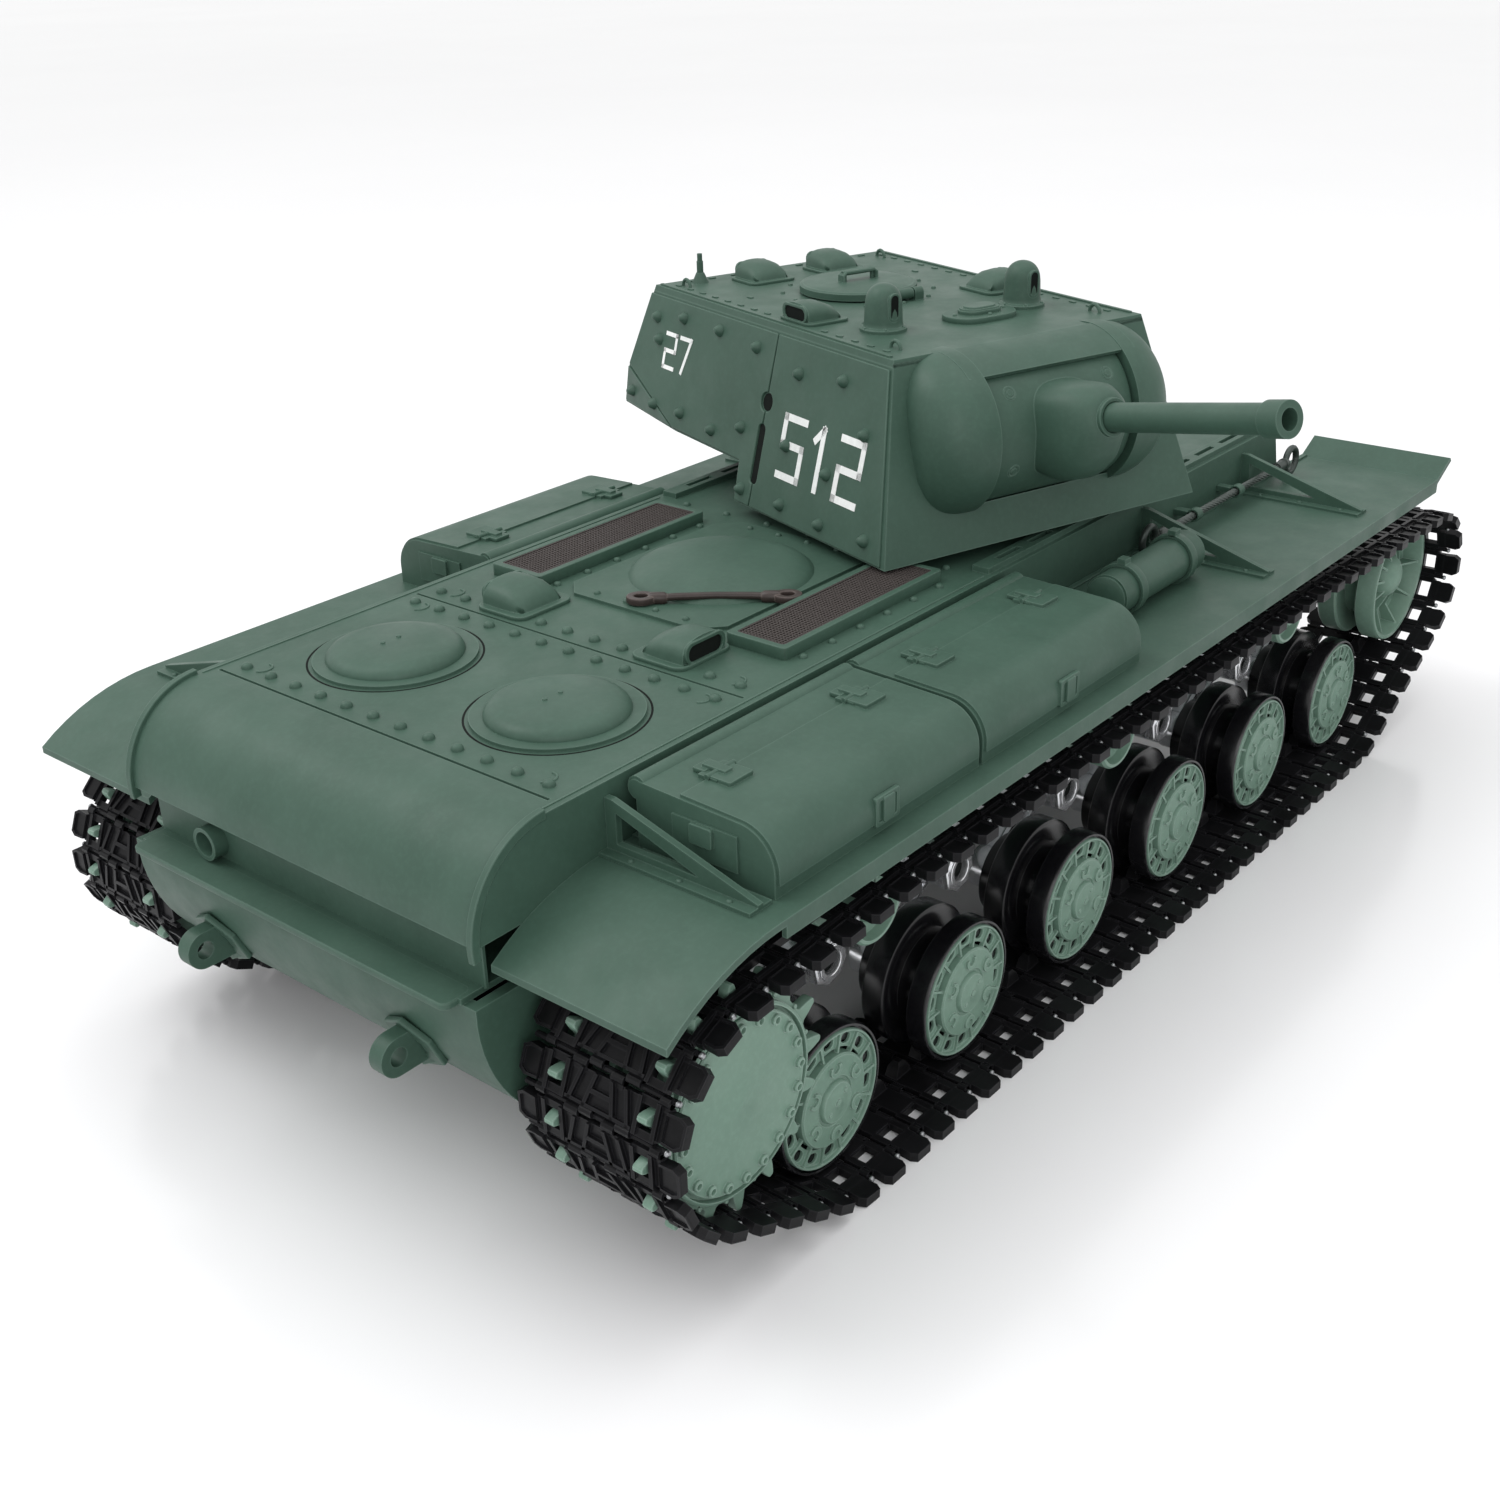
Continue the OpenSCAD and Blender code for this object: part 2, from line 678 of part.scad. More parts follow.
module turret_roof() {
    color("#566f62") turret_frame() {
        difference() {
            intersection() {
                turret_form(0);
                translate([-120, -80, roof_z - roof_t]) cube([240, 160, roof_t]);
            }
            translate([hatch_x, 0, roof_z - 5]) cylinder(r = hatch_r - 2, h = 10);
            mask_pocket();
        }
        // sight base
        translate([21, 3, roof_z - eps]) {
            cylinder(r = 6.5, h = 1.4);
            translate([0, 5, 0]) cylinder(r = 6.5, h = 1.4);
        }
        // antenna base
        translate([-68, -30, roof_z - eps]) {
            cylinder(r1 = 2.6, r2 = 1.2, h = 3);
            cylinder(r = 1, h = 6.4);
        }
        // hinge lugs and pin of the hatch
        translate([hatch_pin_x, 0, hatch_pin_z]) rotate([90, 0, 0])
            cylinder(r = 0.8, h = 15, center = true, $fn = 32);
        for (s = [-1, 1]) translate([hatch_pin_x, s * 6.4, 0]) {
            translate([0, 0, hatch_pin_z]) rotate([90, 0, 0])
                cylinder(r = 1.6, h = 3, center = true, $fn = 32);
            translate([-1.6, -1.5, roof_z - eps]) cube([3.2, 3, 1.9]);
        }
    }
}
module roof_cowls() {
    color("#566f62") turret_frame()
        for (p = [[-60, -13, 180], [-60, 13, 180], [-5, -32, -90], [-5, 32, 90]])
            translate([p.x, p.y, roof_z]) rotate([0, 0, p[2]]) {
                translate([-6.5, -8, 0]) cube([13, 16, 0.8]);
                intersection() {
                    rotate([90, 0, 0]) cylinder(r = 5.6, h = 13, center = true);
                    translate([-5.6, -6.5, 0]) cube([12, 13, 4.6]);
                }
            }
}
module periscopes() {
    color("#566f62") turret_frame() for (s = [-1, 1]) translate([17, s * 24, roof_z]) {
        difference() {
            union() {
                cylinder(r = 6.4, h = 1.2);
                cylinder(r = 5, h = 7.4);
                translate([0, 0, 7.4]) sphere(r = 5);
            }
            translate([1.6, -1.4, 4]) cube([6, 2.8, 6]);
        }
    }
}
module commander_hatch() {
    lid_z = roof_z + 0.4;
    color("#566f62") turret_frame() {
        difference() {
            union() {
                translate([hatch_x, 0, lid_z]) cylinder(r = hatch_r, h = 1.5);
                translate([hatch_x, 0, lid_z + 1.4]) cylinder(r1 = hatch_r - 1, r2 = 9, h = 0.9);
                translate([hatch_pin_x, 0, hatch_pin_z]) rotate([90, 0, 0])
                    cylinder(r = 1.5, h = 9, center = true, $fn = 32);
                translate([hatch_x + 12, -4, lid_z + 0.2]) cube([hatch_pin_x - hatch_x - 12, 8, 1.1]);
            }
            translate([hatch_pin_x, 0, hatch_pin_z]) rotate([90, 0, 0])
                cylinder(r = 0.8 + fit, h = 20, center = true, $fn = 32);
        }
        // strap handle
        for (s = [-1, 1]) translate([hatch_x, s * 5, lid_z + 2])
            cylinder(r = 0.7, h = 3.2, $fn = 24);
        translate([hatch_x, 0, lid_z + 5.2]) rotate([90, 0, 0])
            cylinder(r = 0.7, h = 11.4, center = true, $fn = 24);
    }
}

// ---- gun, about its trunnion axis ----
module gun_frame() {
    turret_frame() translate([trunnion_x, 0, trunnion_z]) rotate([0, -gun_elev, 0]) children();
}
barrel_r = 3.7;
module gun_mask() {
    color("#566f62") gun_frame() difference() {
        union() {
            intersection() {
                rotate([90, 0, 0]) cylinder(r = mask_r, h = 2 * mask_hw, center = true, $fn = 96);
                translate([0, -40, -40]) cube([40, 80, 80]);
            }
            rotate([90, 0, 0]) cylinder(r = 3, h = 2 * mask_hw + 14, center = true);
            // recoil housing, rounded at its front
            translate([16, -9, -12]) cube([14, 18, 20.4]);
            translate([30, 0, -6]) rotate([0, 90, 0]) cylinder(r = 6, h = 4);
            translate([16, 0, 0]) rotate([0, 90, 0]) cylinder(r = 8.4, h = 20);
        }
        rotate([0, 90, 0]) translate([0, 0, -1]) cylinder(r = barrel_r, h = 60);
    }
}
module gun_barrel() {
    color("#566f62") gun_frame() rotate([0, 90, 0]) difference() {
        union() {
            translate([0, 0, 4]) cylinder(r = barrel_r, h = muzzle_x - 4);
            translate([0, 0, muzzle_x - 6]) cylinder(r = 4.4, h = 6);
        }
        translate([0, 0, muzzle_x - 30]) cylinder(r = 2.6, h = 31);
    }
}

hull_tub();
upper_hull();
engine_hatch();
deck_covers();
intake_grilles();
vent_cowls();
deck_link();
tow_eyes();
fenders();
fender_brackets();
stowage_boxes();
spare_tank();
tow_cable();
track_right();
track_left();
drive_gearboxes();
battery_pack();
control_board();
turret_drive();
turret_shell();
turret_roof();
roof_cowls();
periscopes();
commander_hatch();
gun_mask();
gun_barrel();
sprocket_right();
sprocket_left();
idler_right();
idler_left();
for (k = [1:6]) {
    road_wheel(k);
    left() road_wheel(k);
    swing_arm(k);
    left() swing_arm(k);
}
for (k = [1:3]) {
    return_roller(k);
    left() return_roller(k);
}
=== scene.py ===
"""1/16 remote controlled tank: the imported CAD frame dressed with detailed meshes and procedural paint."""
import json
import math

import bpy
from mathutils import Matrix, Vector


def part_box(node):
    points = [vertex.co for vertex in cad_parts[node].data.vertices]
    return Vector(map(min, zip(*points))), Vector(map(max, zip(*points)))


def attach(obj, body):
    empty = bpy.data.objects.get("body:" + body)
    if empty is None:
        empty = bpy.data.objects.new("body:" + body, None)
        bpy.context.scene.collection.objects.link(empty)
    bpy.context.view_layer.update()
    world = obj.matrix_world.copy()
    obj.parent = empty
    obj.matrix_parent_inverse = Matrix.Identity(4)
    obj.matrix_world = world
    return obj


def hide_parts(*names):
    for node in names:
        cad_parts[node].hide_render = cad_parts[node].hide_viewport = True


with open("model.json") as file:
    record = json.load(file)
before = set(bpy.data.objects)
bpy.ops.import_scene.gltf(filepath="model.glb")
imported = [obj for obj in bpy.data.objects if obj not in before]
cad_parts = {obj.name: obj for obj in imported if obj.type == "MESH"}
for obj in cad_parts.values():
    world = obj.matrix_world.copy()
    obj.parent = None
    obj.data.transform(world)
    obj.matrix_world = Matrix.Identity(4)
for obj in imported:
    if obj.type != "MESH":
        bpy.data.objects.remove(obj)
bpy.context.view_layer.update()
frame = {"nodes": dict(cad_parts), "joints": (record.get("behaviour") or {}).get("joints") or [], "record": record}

MM = 0.001
JOINTS = {j["name"]: j for j in frame["joints"]}
SIDES = ("right", "left")


def mm(point):
    return Vector(point) / MM


def box_mm(node):
    low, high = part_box(node)
    return mm(low), mm(high)


def joint_at(name):
    return mm(JOINTS[name]["pos_m"])


# ---------------------------------------------------------------- shapes, in millimetres
class Shape:
    """Vertices and faces gathered from simple closed forms."""

    def __init__(self):
        self.verts = []
        self.faces = []

    def add(self, verts, faces, at=None):
        base = len(self.verts)
        self.verts += [at @ Vector(v) if at else Vector(v) for v in verts]
        flip = at is not None and at.determinant() < 0
        for f in faces:
            f = [base + i for i in f]
            self.faces.append(f[::-1] if flip else f)
        return self

    def merge(self, other, at=None):
        return self.add(other.verts, other.faces, at)

    def box(self, low, high, at=None):
        (a, b, c), (d, e, f) = low, high
        verts = [(a, b, c), (d, b, c), (d, e, c), (a, e, c), (a, b, f), (d, b, f), (d, e, f), (a, e, f)]
        faces = [(0, 3, 2, 1), (4, 5, 6, 7), (0, 1, 5, 4), (1, 2, 6, 5), (2, 3, 7, 6), (3, 0, 4, 7)]
        return self.add(verts, faces, at)

    def rings(self, rings, at=None, loop=False):
        """Joins closed rings of equal length, which run anticlockwise about the direction they advance in."""
        n = len(rings[0])
        verts = [p for ring in rings for p in ring]
        faces = []
        for k in range(len(rings) - (0 if loop else 1)):
            m = (k + 1) % len(rings)
            for i in range(n):
                j = (i + 1) % n
                faces.append((k * n + i, k * n + j, m * n + j, m * n + i))
        if not loop:
            faces.append(tuple(range(n))[::-1])
            faces.append(tuple(range((len(rings) - 1) * n, len(rings) * n)))
        return self.add(verts, faces, at)

    def lathe(self, profile, at=None, n=48, loop=False):
        """Turns (radius, height) points about Z, solid on their left; a loop of them makes a ring."""
        rings = []
        for r, h in profile:
            rings.append([(r * math.cos(2 * math.pi * i / n), r * math.sin(2 * math.pi * i / n), h)
                          for i in range(n)])
        return self.rings(rings, at, loop)

    def cyl(self, r, z0, z1, at=None, n=24):
        return self.lathe([(r, z0), (r, z1)], at, n)

    def prism(self, outline, z0, z1, at=None):
        return self.rings([[(x, y, z0) for x, y in outline], [(x, y, z1) for x, y in outline]], at)

    def tube(self, path, r, n=10, at=None):
        path = [Vector(p) for p in path]
        rings = []
        side = None
        for k, p in enumerate(path):
            ahead = (path[min(k + 1, len(path) - 1)] - path[max(k - 1, 0)]).normalized()
            if side is None:
                side = ahead.orthogonal().normalized()
            side = (side - ahead * side.dot(ahead)).normalized()
            up = ahead.cross(side)
            turns = [2 * math.pi * i / n for i in range(n)]
            rings.append([p + side * r * math.cos(t) + up * r * math.sin(t) for t in turns])
        return self.rings(rings, at)

    def plate(self, loops, z0, z1, bevel=0.0, at=None):
        """A flat plate with holes: the first loop is its edge, the others are cut out."""
        curve = bpy.data.curves.new("plate", "CURVE")
        curve.dimensions = "2D"
        curve.fill_mode = "BOTH"
        curve.extrude = (z1 - z0) / 2 - bevel
        curve.bevel_depth = bevel
        curve.bevel_resolution = 1
        curve.offset = -bevel
        for loop in loops:
            spline = curve.splines.new("POLY")
            spline.points.add(len(loop) - 1)
            for point, (x, y) in zip(spline.points, loop):
                point.co = (x, y, 0, 1)
            spline.use_cyclic_u = True
        obj = bpy.data.objects.new("plate", curve)
        bpy.context.scene.collection.objects.link(obj)
        mesh = bpy.data.meshes.new_from_object(obj)
        middle = (z0 + z1) / 2
        verts = [(v.co.x, v.co.y, v.co.z + middle) for v in mesh.vertices]
        faces = [tuple(p.vertices) for p in mesh.polygons]
        bpy.data.objects.remove(obj)
        bpy.data.curves.remove(curve)
        bpy.data.meshes.remove(mesh)
        return self.add(verts, faces, at)


def circle(r, x=0.0, y=0.0, n=32, start=0.0, sweep=360.0):
    count = n if sweep == 360.0 else n + 1
    return [(x + r * math.cos(math.radians(start + sweep * i / n)),
             y + r * math.sin(math.radians(start + sweep * i / n))) for i in range(count)]


def washer(outer, inner, n=32, n_inner=32):
    return [circle(outer, n=n), circle(inner, n=n_inner)[::-1]]


def oval(x, y, length, width, turn=0.0, n=8):
    """A slot with round ends, its length along the turned X axis."""
    half = (length - width) / 2
    points = [(half + a, b) for a, b in circle(width / 2, n=n, start=-90, sweep=180)]
    points += [(-half + a, b) for a, b in circle(width / 2, n=n, start=90, sweep=180)]
    c, s = math.cos(turn), math.sin(turn)
    return [(x + a * c - b * s, y + a * s + b * c) for a, b in points]


def rounded(low, high, r):
    (a, b), (c, d) = low, high
    out = []
    for x, y, start in ((c - r, b + r, -90), (c - r, d - r, 0), (a + r, d - r, 90), (a + r, b + r, 180)):
        out += circle(r, x, y, n=5, start=start, sweep=90)
    return out


def spin(angle):
    return Matrix.Rotation(angle, 4, "Z")


def turn_by(degrees, axis):
    return Matrix.Rotation(math.radians(degrees), 4, axis)


def move(x, y, z):
    return Matrix.Translation((x, y, z))


MIRROR = Matrix.Diagonal((1, -1, 1, 1))


def outward(x, z, w=0.0):
    """A frame whose Z points out of the hull's right side, at a place on that side."""
    return move(x, -w, z) @ turn_by(90, "X")


# frames whose Z points forward, and back
FACE_X = Matrix(((0, 0, 1, 0), (1, 0, 0, 0), (0, 1, 0, 0), (0, 0, 0, 1)))
FACE_REAR = Matrix(((0, 0, -1, 0), (1, 0, 0, 0), (0, 1, 0, 0), (0, 0, 0, 1)))


# ---------------------------------------------------------------- materials
PATCH = 45.0


def new_material(name):
    mat = bpy.data.materials.new(name)
    mat.use_nodes = True
    nodes = mat.node_tree.nodes
    return mat, nodes, mat.node_tree.links, nodes["Principled BSDF"]


def noise(nodes, links, coords, scale, detail=4.0, rough=0.55):
    tex = nodes.new("ShaderNodeTexNoise")
    tex.inputs["Scale"].default_value = scale
    tex.inputs["Detail"].default_value = detail
    tex.inputs["Roughness"].default_value = rough
    links.new(coords, tex.inputs["Vector"])
    return tex.outputs["Fac"]


def remap(nodes, links, value, low, high, to_low, to_high):
    node = nodes.new("ShaderNodeMapRange")
    for key, number in (("From Min", low), ("From Max", high), ("To Min", to_low), ("To Max", to_high)):
        node.inputs[key].default_value = number
    links.new(value, node.inputs["Value"])
    return node.outputs["Result"]


def mix(nodes, links, fac, a, b):
    node = nodes.new("ShaderNodeMix")
    node.data_type = "RGBA"
    node.blend_type = "MIX"
    for socket, value in ((node.inputs["Factor"], fac), (node.inputs["A"], a), (node.inputs["B"], b)):
        if isinstance(value, bpy.types.NodeSocket):
            links.new(value, socket)
        elif isinstance(value, float):
            socket.default_value = value
        else:
            socket.default_value = (*value, 1.0)
    return node.outputs["Result"]


def edge_mask(nodes, links, radius):
    """1 on convex and concave edges, 0 on flat faces."""
    bevel = nodes.new("ShaderNodeBevel")
    bevel.samples = 4
    bevel.inputs["Radius"].default_value = radius
    geometry = nodes.new("ShaderNodeNewGeometry")
    dot = nodes.new("ShaderNodeVectorMath")
    dot.operation = "DOT_PRODUCT"
    links.new(bevel.outputs["Normal"], dot.inputs[0])
    links.new(geometry.outputs["Normal"], dot.inputs[1])
    return remap(nodes, links, dot.outputs["Value"], 0.995, 0.9, 0.0, 1.0)


def surface(name, dark, light, roughness, spread=0.08, metallic=0.0, edge_wear_and_highlight=None, grain=1400.0,
            depth=0.00003, specular=0.5):
    """A moulded or painted finish: colour drift, fine speckle, edges lightened as wear and painted highlight,
    grain bump.
    """
    mat, nodes, links, shader = new_material(name)
    coords = nodes.new("ShaderNodeTexCoord").outputs["Object"]
    drift = remap(nodes, links, noise(nodes, links, coords, PATCH), 0.32, 0.68, 0.0, 1.0)
    colour = mix(nodes, links, drift, dark, light)
    speckle = remap(nodes, links, noise(nodes, links, coords, 700.0, 2.0), 0.45, 0.75, 0.0, 0.22)
    colour = mix(nodes, links, speckle, colour, tuple(c * 1.35 for c in light))
    # edges, convex and concave alike, are mixed towards a lighter colour: partly wear, partly painted highlight
    if edge_wear_and_highlight:
        colour = mix(nodes, links, edge_mask(nodes, links, 0.0005), colour, edge_wear_and_highlight)
    links.new(colour, shader.inputs["Base Color"])
    gloss = noise(nodes, links, coords, PATCH * 2.2, 6.0)
    links.new(remap(nodes, links, gloss, 0.3, 0.7, roughness - spread, roughness + spread),
              shader.inputs["Roughness"])
    bump = nodes.new("ShaderNodeBump")
    bump.inputs["Strength"].default_value = 0.35
    bump.inputs["Distance"].default_value = depth
    links.new(noise(nodes, links, coords, grain, 3.0, 0.6), bump.inputs["Height"])
    links.new(bump.outputs["Normal"], shader.inputs["Normal"])
    shader.inputs["Metallic"].default_value = metallic
    shader.inputs["Specular IOR Level"].default_value = specular
    return mat


MATERIALS = {
    "hull_paint": surface("hull_paint", (0.036, 0.075, 0.054), (0.045, 0.090, 0.066), 0.50,
                          edge_wear_and_highlight=(0.078, 0.135, 0.105), specular=0.28),
    "wheel_paint": surface("wheel_paint", (0.125, 0.215, 0.165), (0.155, 0.250, 0.195), 0.44,
                           edge_wear_and_highlight=(0.24, 0.34, 0.285), specular=0.35),
    "track_black": surface("track_black", (0.004, 0.004, 0.0045), (0.009, 0.009, 0.010), 0.36,
                           edge_wear_and_highlight=(0.018, 0.018, 0.020), grain=900.0, specular=0.11),
    "rim_black": surface("rim_black", (0.004, 0.004, 0.005), (0.008, 0.008, 0.009), 0.22, spread=0.05,
                         edge_wear_and_highlight=(0.025, 0.025, 0.027), specular=0.45),
    "arm_metal": surface("arm_metal", (0.66, 0.67, 0.70), (0.88, 0.89, 0.91), 0.2, metallic=0.8,
                         edge_wear_and_highlight=(0.90, 0.91, 0.93), depth=0.00006),
    # painted light: a pale grey for the plates behind the arms, in place of the bright floor under the hull
    "painted_light_grey": surface("painted_light_grey", (0.40, 0.43, 0.43), (0.52, 0.55, 0.55), 0.4, edge_wear_and_highlight=(0.62, 0.64, 0.65)),
    "grille_brown": surface("grille_brown", (0.028, 0.0235, 0.0225), (0.046, 0.038, 0.036), 0.6,
                            edge_wear_and_highlight=(0.075, 0.064, 0.060), specular=0.25),
    "tool_brown": surface("tool_brown", (0.024, 0.017, 0.015), (0.042, 0.030, 0.027), 0.42,
                          edge_wear_and_highlight=(0.10, 0.078, 0.07), specular=0.35),
    "cable_steel": surface("cable_steel", (0.030, 0.040, 0.036), (0.055, 0.068, 0.062), 0.45,
                           metallic=0.6, edge_wear_and_highlight=(0.13, 0.15, 0.14)),
    "gear_metal": surface("gear_metal", (0.30, 0.31, 0.32), (0.38, 0.39, 0.40), 0.4, metallic=0.9),
    "battery_blue": surface("battery_blue", (0.02, 0.09, 0.34), (0.04, 0.13, 0.45), 0.3),
    "board_green": surface("board_green", (0.015, 0.14, 0.05), (0.025, 0.20, 0.07), 0.35),
    "white_plastic": surface("white_plastic", (0.6, 0.6, 0.56), (0.7, 0.7, 0.66), 0.5),
    "marking_white": surface("marking_white", (0.66, 0.68, 0.67), (0.80, 0.81, 0.80), 0.5),
    "shadow": surface("shadow", (0.005, 0.007, 0.006), (0.008, 0.010, 0.009), 0.8, specular=0.1),
}


# ---------------------------------------------------------------- pieces
def piece(name, shape, material, body, bevel=0.0, smooth=38.0):
    """Makes an object of a shape in millimetres and fixes it to a body."""
    mesh = bpy.data.meshes.new(name)
    mesh.from_pydata([v * MM for v in shape.verts], [], shape.faces)
    mesh.validate()
    mesh.update()
    mesh.shade_smooth()
    mesh.set_sharp_from_angle(angle=math.radians(smooth))
    mesh.materials.append(MATERIALS[material])
    obj = bpy.data.objects.new(name, mesh)
    bpy.context.scene.collection.objects.link(obj)
    if bevel:
        add_bevel(obj, bevel)
    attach(obj, body)
    return obj


def add_bevel(obj, width):
    mod = obj.modifiers.new("edges", "BEVEL")
    mod.width = width * MM
    mod.segments = 2
    mod.limit_method = "ANGLE"
    mod.angle_limit = math.radians(34.0)
    mod.use_clamp_overlap = True
    mod.miter_outer = "MITER_ARC"


def on_side(shape, side):
    """A shape drawn on the right side, or its mirror image on the left."""
    return shape if side == "right" else Shape().merge(shape, MIRROR)


def both_sides(name, shape, material, bevel=0.0, sides=SIDES):
    """Fixes a shape drawn on the right side to the hull; each side's copy is one piece."""
    for side in sides:
        piece(f"{name}_{side}", on_side(shape, side), material, "hull", bevel)


# ---------------------------------------------------------------- CAD nodes that stay in view
def dress_cad():
    slot_of = {s["node"]: s["material_slot"] for s in frame["record"]["subparts"]}
    edge = {"hull_tub": 0.4, "upper_hull": 0.5, "engine_hatch": 0.4, "deck_covers": 0.3,
            "intake_grilles": 0.3, "tow_eyes": 0.4, "fenders": 0.25, "fender_brackets": 0.2,
            "stowage_boxes": 0.5, "spare_tank": 0.4, "turret_shell": 0.35, "turret_roof": 0.3,
            "commander_hatch": 0.3, "gun_barrel": 0.3}
    for name, obj in frame["nodes"].items():
        obj.data.materials.clear()
        obj.data.materials.append(MATERIALS[slot_of[name]])
        if name in edge:
            add_bevel(obj, edge[name])


# ---------------------------------------------------------------- running gear places, from the joints
drive = joint_at("drive_right")
idle = joint_at("idler_spin_right")
wheels = [joint_at(f"wheel_spin_right_{k}") for k in range(1, 7)]
rollers = [joint_at(f"roller_spin_right_{k}") for k in range(1, 4)]
pivots = [joint_at(f"suspension_right_{k}") for k in range(1, 7)]
# distances out from the hull's centre plane, and radii, in millimetres
GROOVE = (78.9, 85.1)
RIM_IN, RIM_OUT = 72.0, 91.0
WHEEL_HOLES = 14
WHEEL_FACE_R = 16.9
ARM_W = (59.0, 65.0)
ARM_BOSS, ARM_BOSS_LAST = 8.0, 0.3
PIVOT_HOLE_R = 2.56
SPROCKET_BOLTS = 20
WHEEL_R = (box_mm("wheel_right_1")[1].x - box_mm("wheel_right_1")[0].x) / 2
IDLER_R = (box_mm("idler_right")[1].x - box_mm("idler_right")[0].x) / 2
ROLLER_R = (box_mm("roller_right_1")[1].x - box_mm("roller_right_1")[0].x) / 2
TEETH = 16
PITCH_R = 25.63
LINK_T = 2.4
GAP = 0.4
TRACK_MID = 82.0
TRACK_W = 43.6
TOOTH_W = (70.0, 94.0)


# ---------------------------------------------------------------- tracks
def track_path():
    """Places of the links along the loop: (x, z, turn), first at the sprocket's rearmost point."""
    circles = [(drive.x, drive.z, PITCH_R),
               (wheels[0].x, wheels[0].z, wheels[0].z - LINK_T / 2),
               (wheels[5].x, wheels[5].z, wheels[5].z - LINK_T / 2),
               (idle.x, idle.z, IDLER_R + GAP + LINK_T / 2),
               (rollers[2].x, rollers[2].z, ROLLER_R + GAP + LINK_T / 2),
               (rollers[0].x, rollers[0].z, ROLLER_R + GAP + LINK_T / 2)]
    count = len(circles)
    leave = []
    for i, (x, z, r) in enumerate(circles):
        x2, z2, r2 = circles[(i + 1) % count]
        leave.append(math.atan2(z2 - z, x2 - x) - math.acos((r - r2) / math.hypot(x2 - x, z2 - z)))
    runs = []
    for i, (x, z, r) in enumerate(circles):
        x2, z2, r2 = circles[(i + 1) % count]
        meet = leave[i - 1]
        runs.append((i, "arc", meet, ((leave[i] - meet) % (2 * math.pi)) * r))
        runs.append((i, "line", leave[i], math.sqrt((x2 - x) ** 2 + (z2 - z) ** 2 - (r - r2) ** 2)))
    total = sum(run[3] for run in runs)
    links = round(total / (2 * PITCH_R * math.sin(math.pi / TEETH)))
    start = ((math.pi - leave[-1]) % (2 * math.pi)) * PITCH_R

    def at(s):
        s %= total
        for i, kind, angle, length in runs:
            x, z, r = circles[i]
            if s <= length:
                if kind == "arc":
                    a = angle + s / r
                    return x + r * math.cos(a), z + r * math.sin(a), a + math.pi / 2
                return (x + r * math.cos(angle) - s * math.sin(angle),
                        z + r * math.sin(angle) + s * math.cos(angle), angle + math.pi / 2)
            s -= length
        raise ValueError("the place is past the loop's end")

    step = total / links
    return [at(start + k * step) for k in range(links)], [at(start + (k + 0.5) * step) for k in range(links)]


def link_shape():
    """One link, X along the track, Y across, Z towards the wheels; the sole is at the lowest Z."""
    s = Shape()
    half = TRACK_W / 2
    t = LINK_T / 2
    win = 2.4
    outer = 16.9
    skin = -0.35
    rows = [TRACK_MID - w for w in TOOTH_W]
    webs = ((-outer, min(rows) - win), (min(rows) + win, max(rows) - win), (max(rows) + win, outer))
    for low, high in webs:
        s.box((-3.5, low, skin), (3.5, high, t))
    for row in rows:
        for a, b in ((-4.3, -2.5), (2.5, 4.3)):
            s.box((a, row - win - 0.1, skin - 0.3), (b, row + win + 0.1, t))
        for y in (row - win, row + win):
            s.box((-4.0, y - 0.5, -t), (4.0, y + 0.5, t - 0.3))
    # outer blocks, with their corners cut and a raised rim round the sole
    for side in (-1, 1):
        y0, y1 = side * (outer - 0.2), side * half
        cut = side * (half - 1.6)
        block = [(-3.2, y0), (3.2, y0), (3.45, cut), (2.5, y1), (-2.5, y1), (-3.45, cut)]
        s.prism(block[::side], -t + 0.5, t)
        rim = [(0.82 * x, side * (half - 0.6) - 0.88 * (side * half - y)) for x, y in block]
        s.plate([block, rim[::-1]], -t, -t + 0.6)
    # hinge knuckles, by turns at the front and the back
    knuckles = ((-16.6, -14.2), (-8.6, -5.0), (-4.6, -1.4), (1.4, 4.6), (5.0, 8.6), (14.2, 16.6))
    for k, (a, b) in enumerate(knuckles):
        for x in (4.55, -4.55):
            if (k % 2) == (x > 0):
                s.cyl(1.15, a, b, move(x, 0, 0) @ turn_by(-90, "X"), n=10)
                s.box((min(x, x * 0.6), a, -0.5), (max(x, x * 0.6), b, 0.9))
    # sole ribs: slanted bars on both sides of a short tie
    for side in (-1, 1):
        for y0, y1 in ((1.6, 3.4), (5.4, 7.4)):
            bar = [(-3.6, side * y0), (3.6, side * y1), (3.6, side * (y1 + 0.9)), (-3.6, side * (y0 + 0.9))]
            s.prism(bar[::side], -t, 0)
    s.box((-0.5, -2.6, -t), (0.5, 2.6, 0))
    s.box((2.9, -8.8, -t), (3.6, 8.8, 0))
    # guide horn
    s.rings([[(-3.0, -1.8, t - 0.2), (3.0, -1.8, t - 0.2), (3.0, 1.8, t - 0.2), (-3.0, 1.8, t - 0.2)],
             [(-2.0, -1.6, t + 2.4), (2.0, -1.6, t + 2.4), (2.0, 1.6, t + 2.4), (-2.0, 1.6, t + 2.4)],
             [(-0.9, -0.9, t + 3.7), (0.9, -0.9, t + 3.7), (0.9, 0.9, t + 3.7), (-0.9, 0.9, t + 3.7)]])
    return s


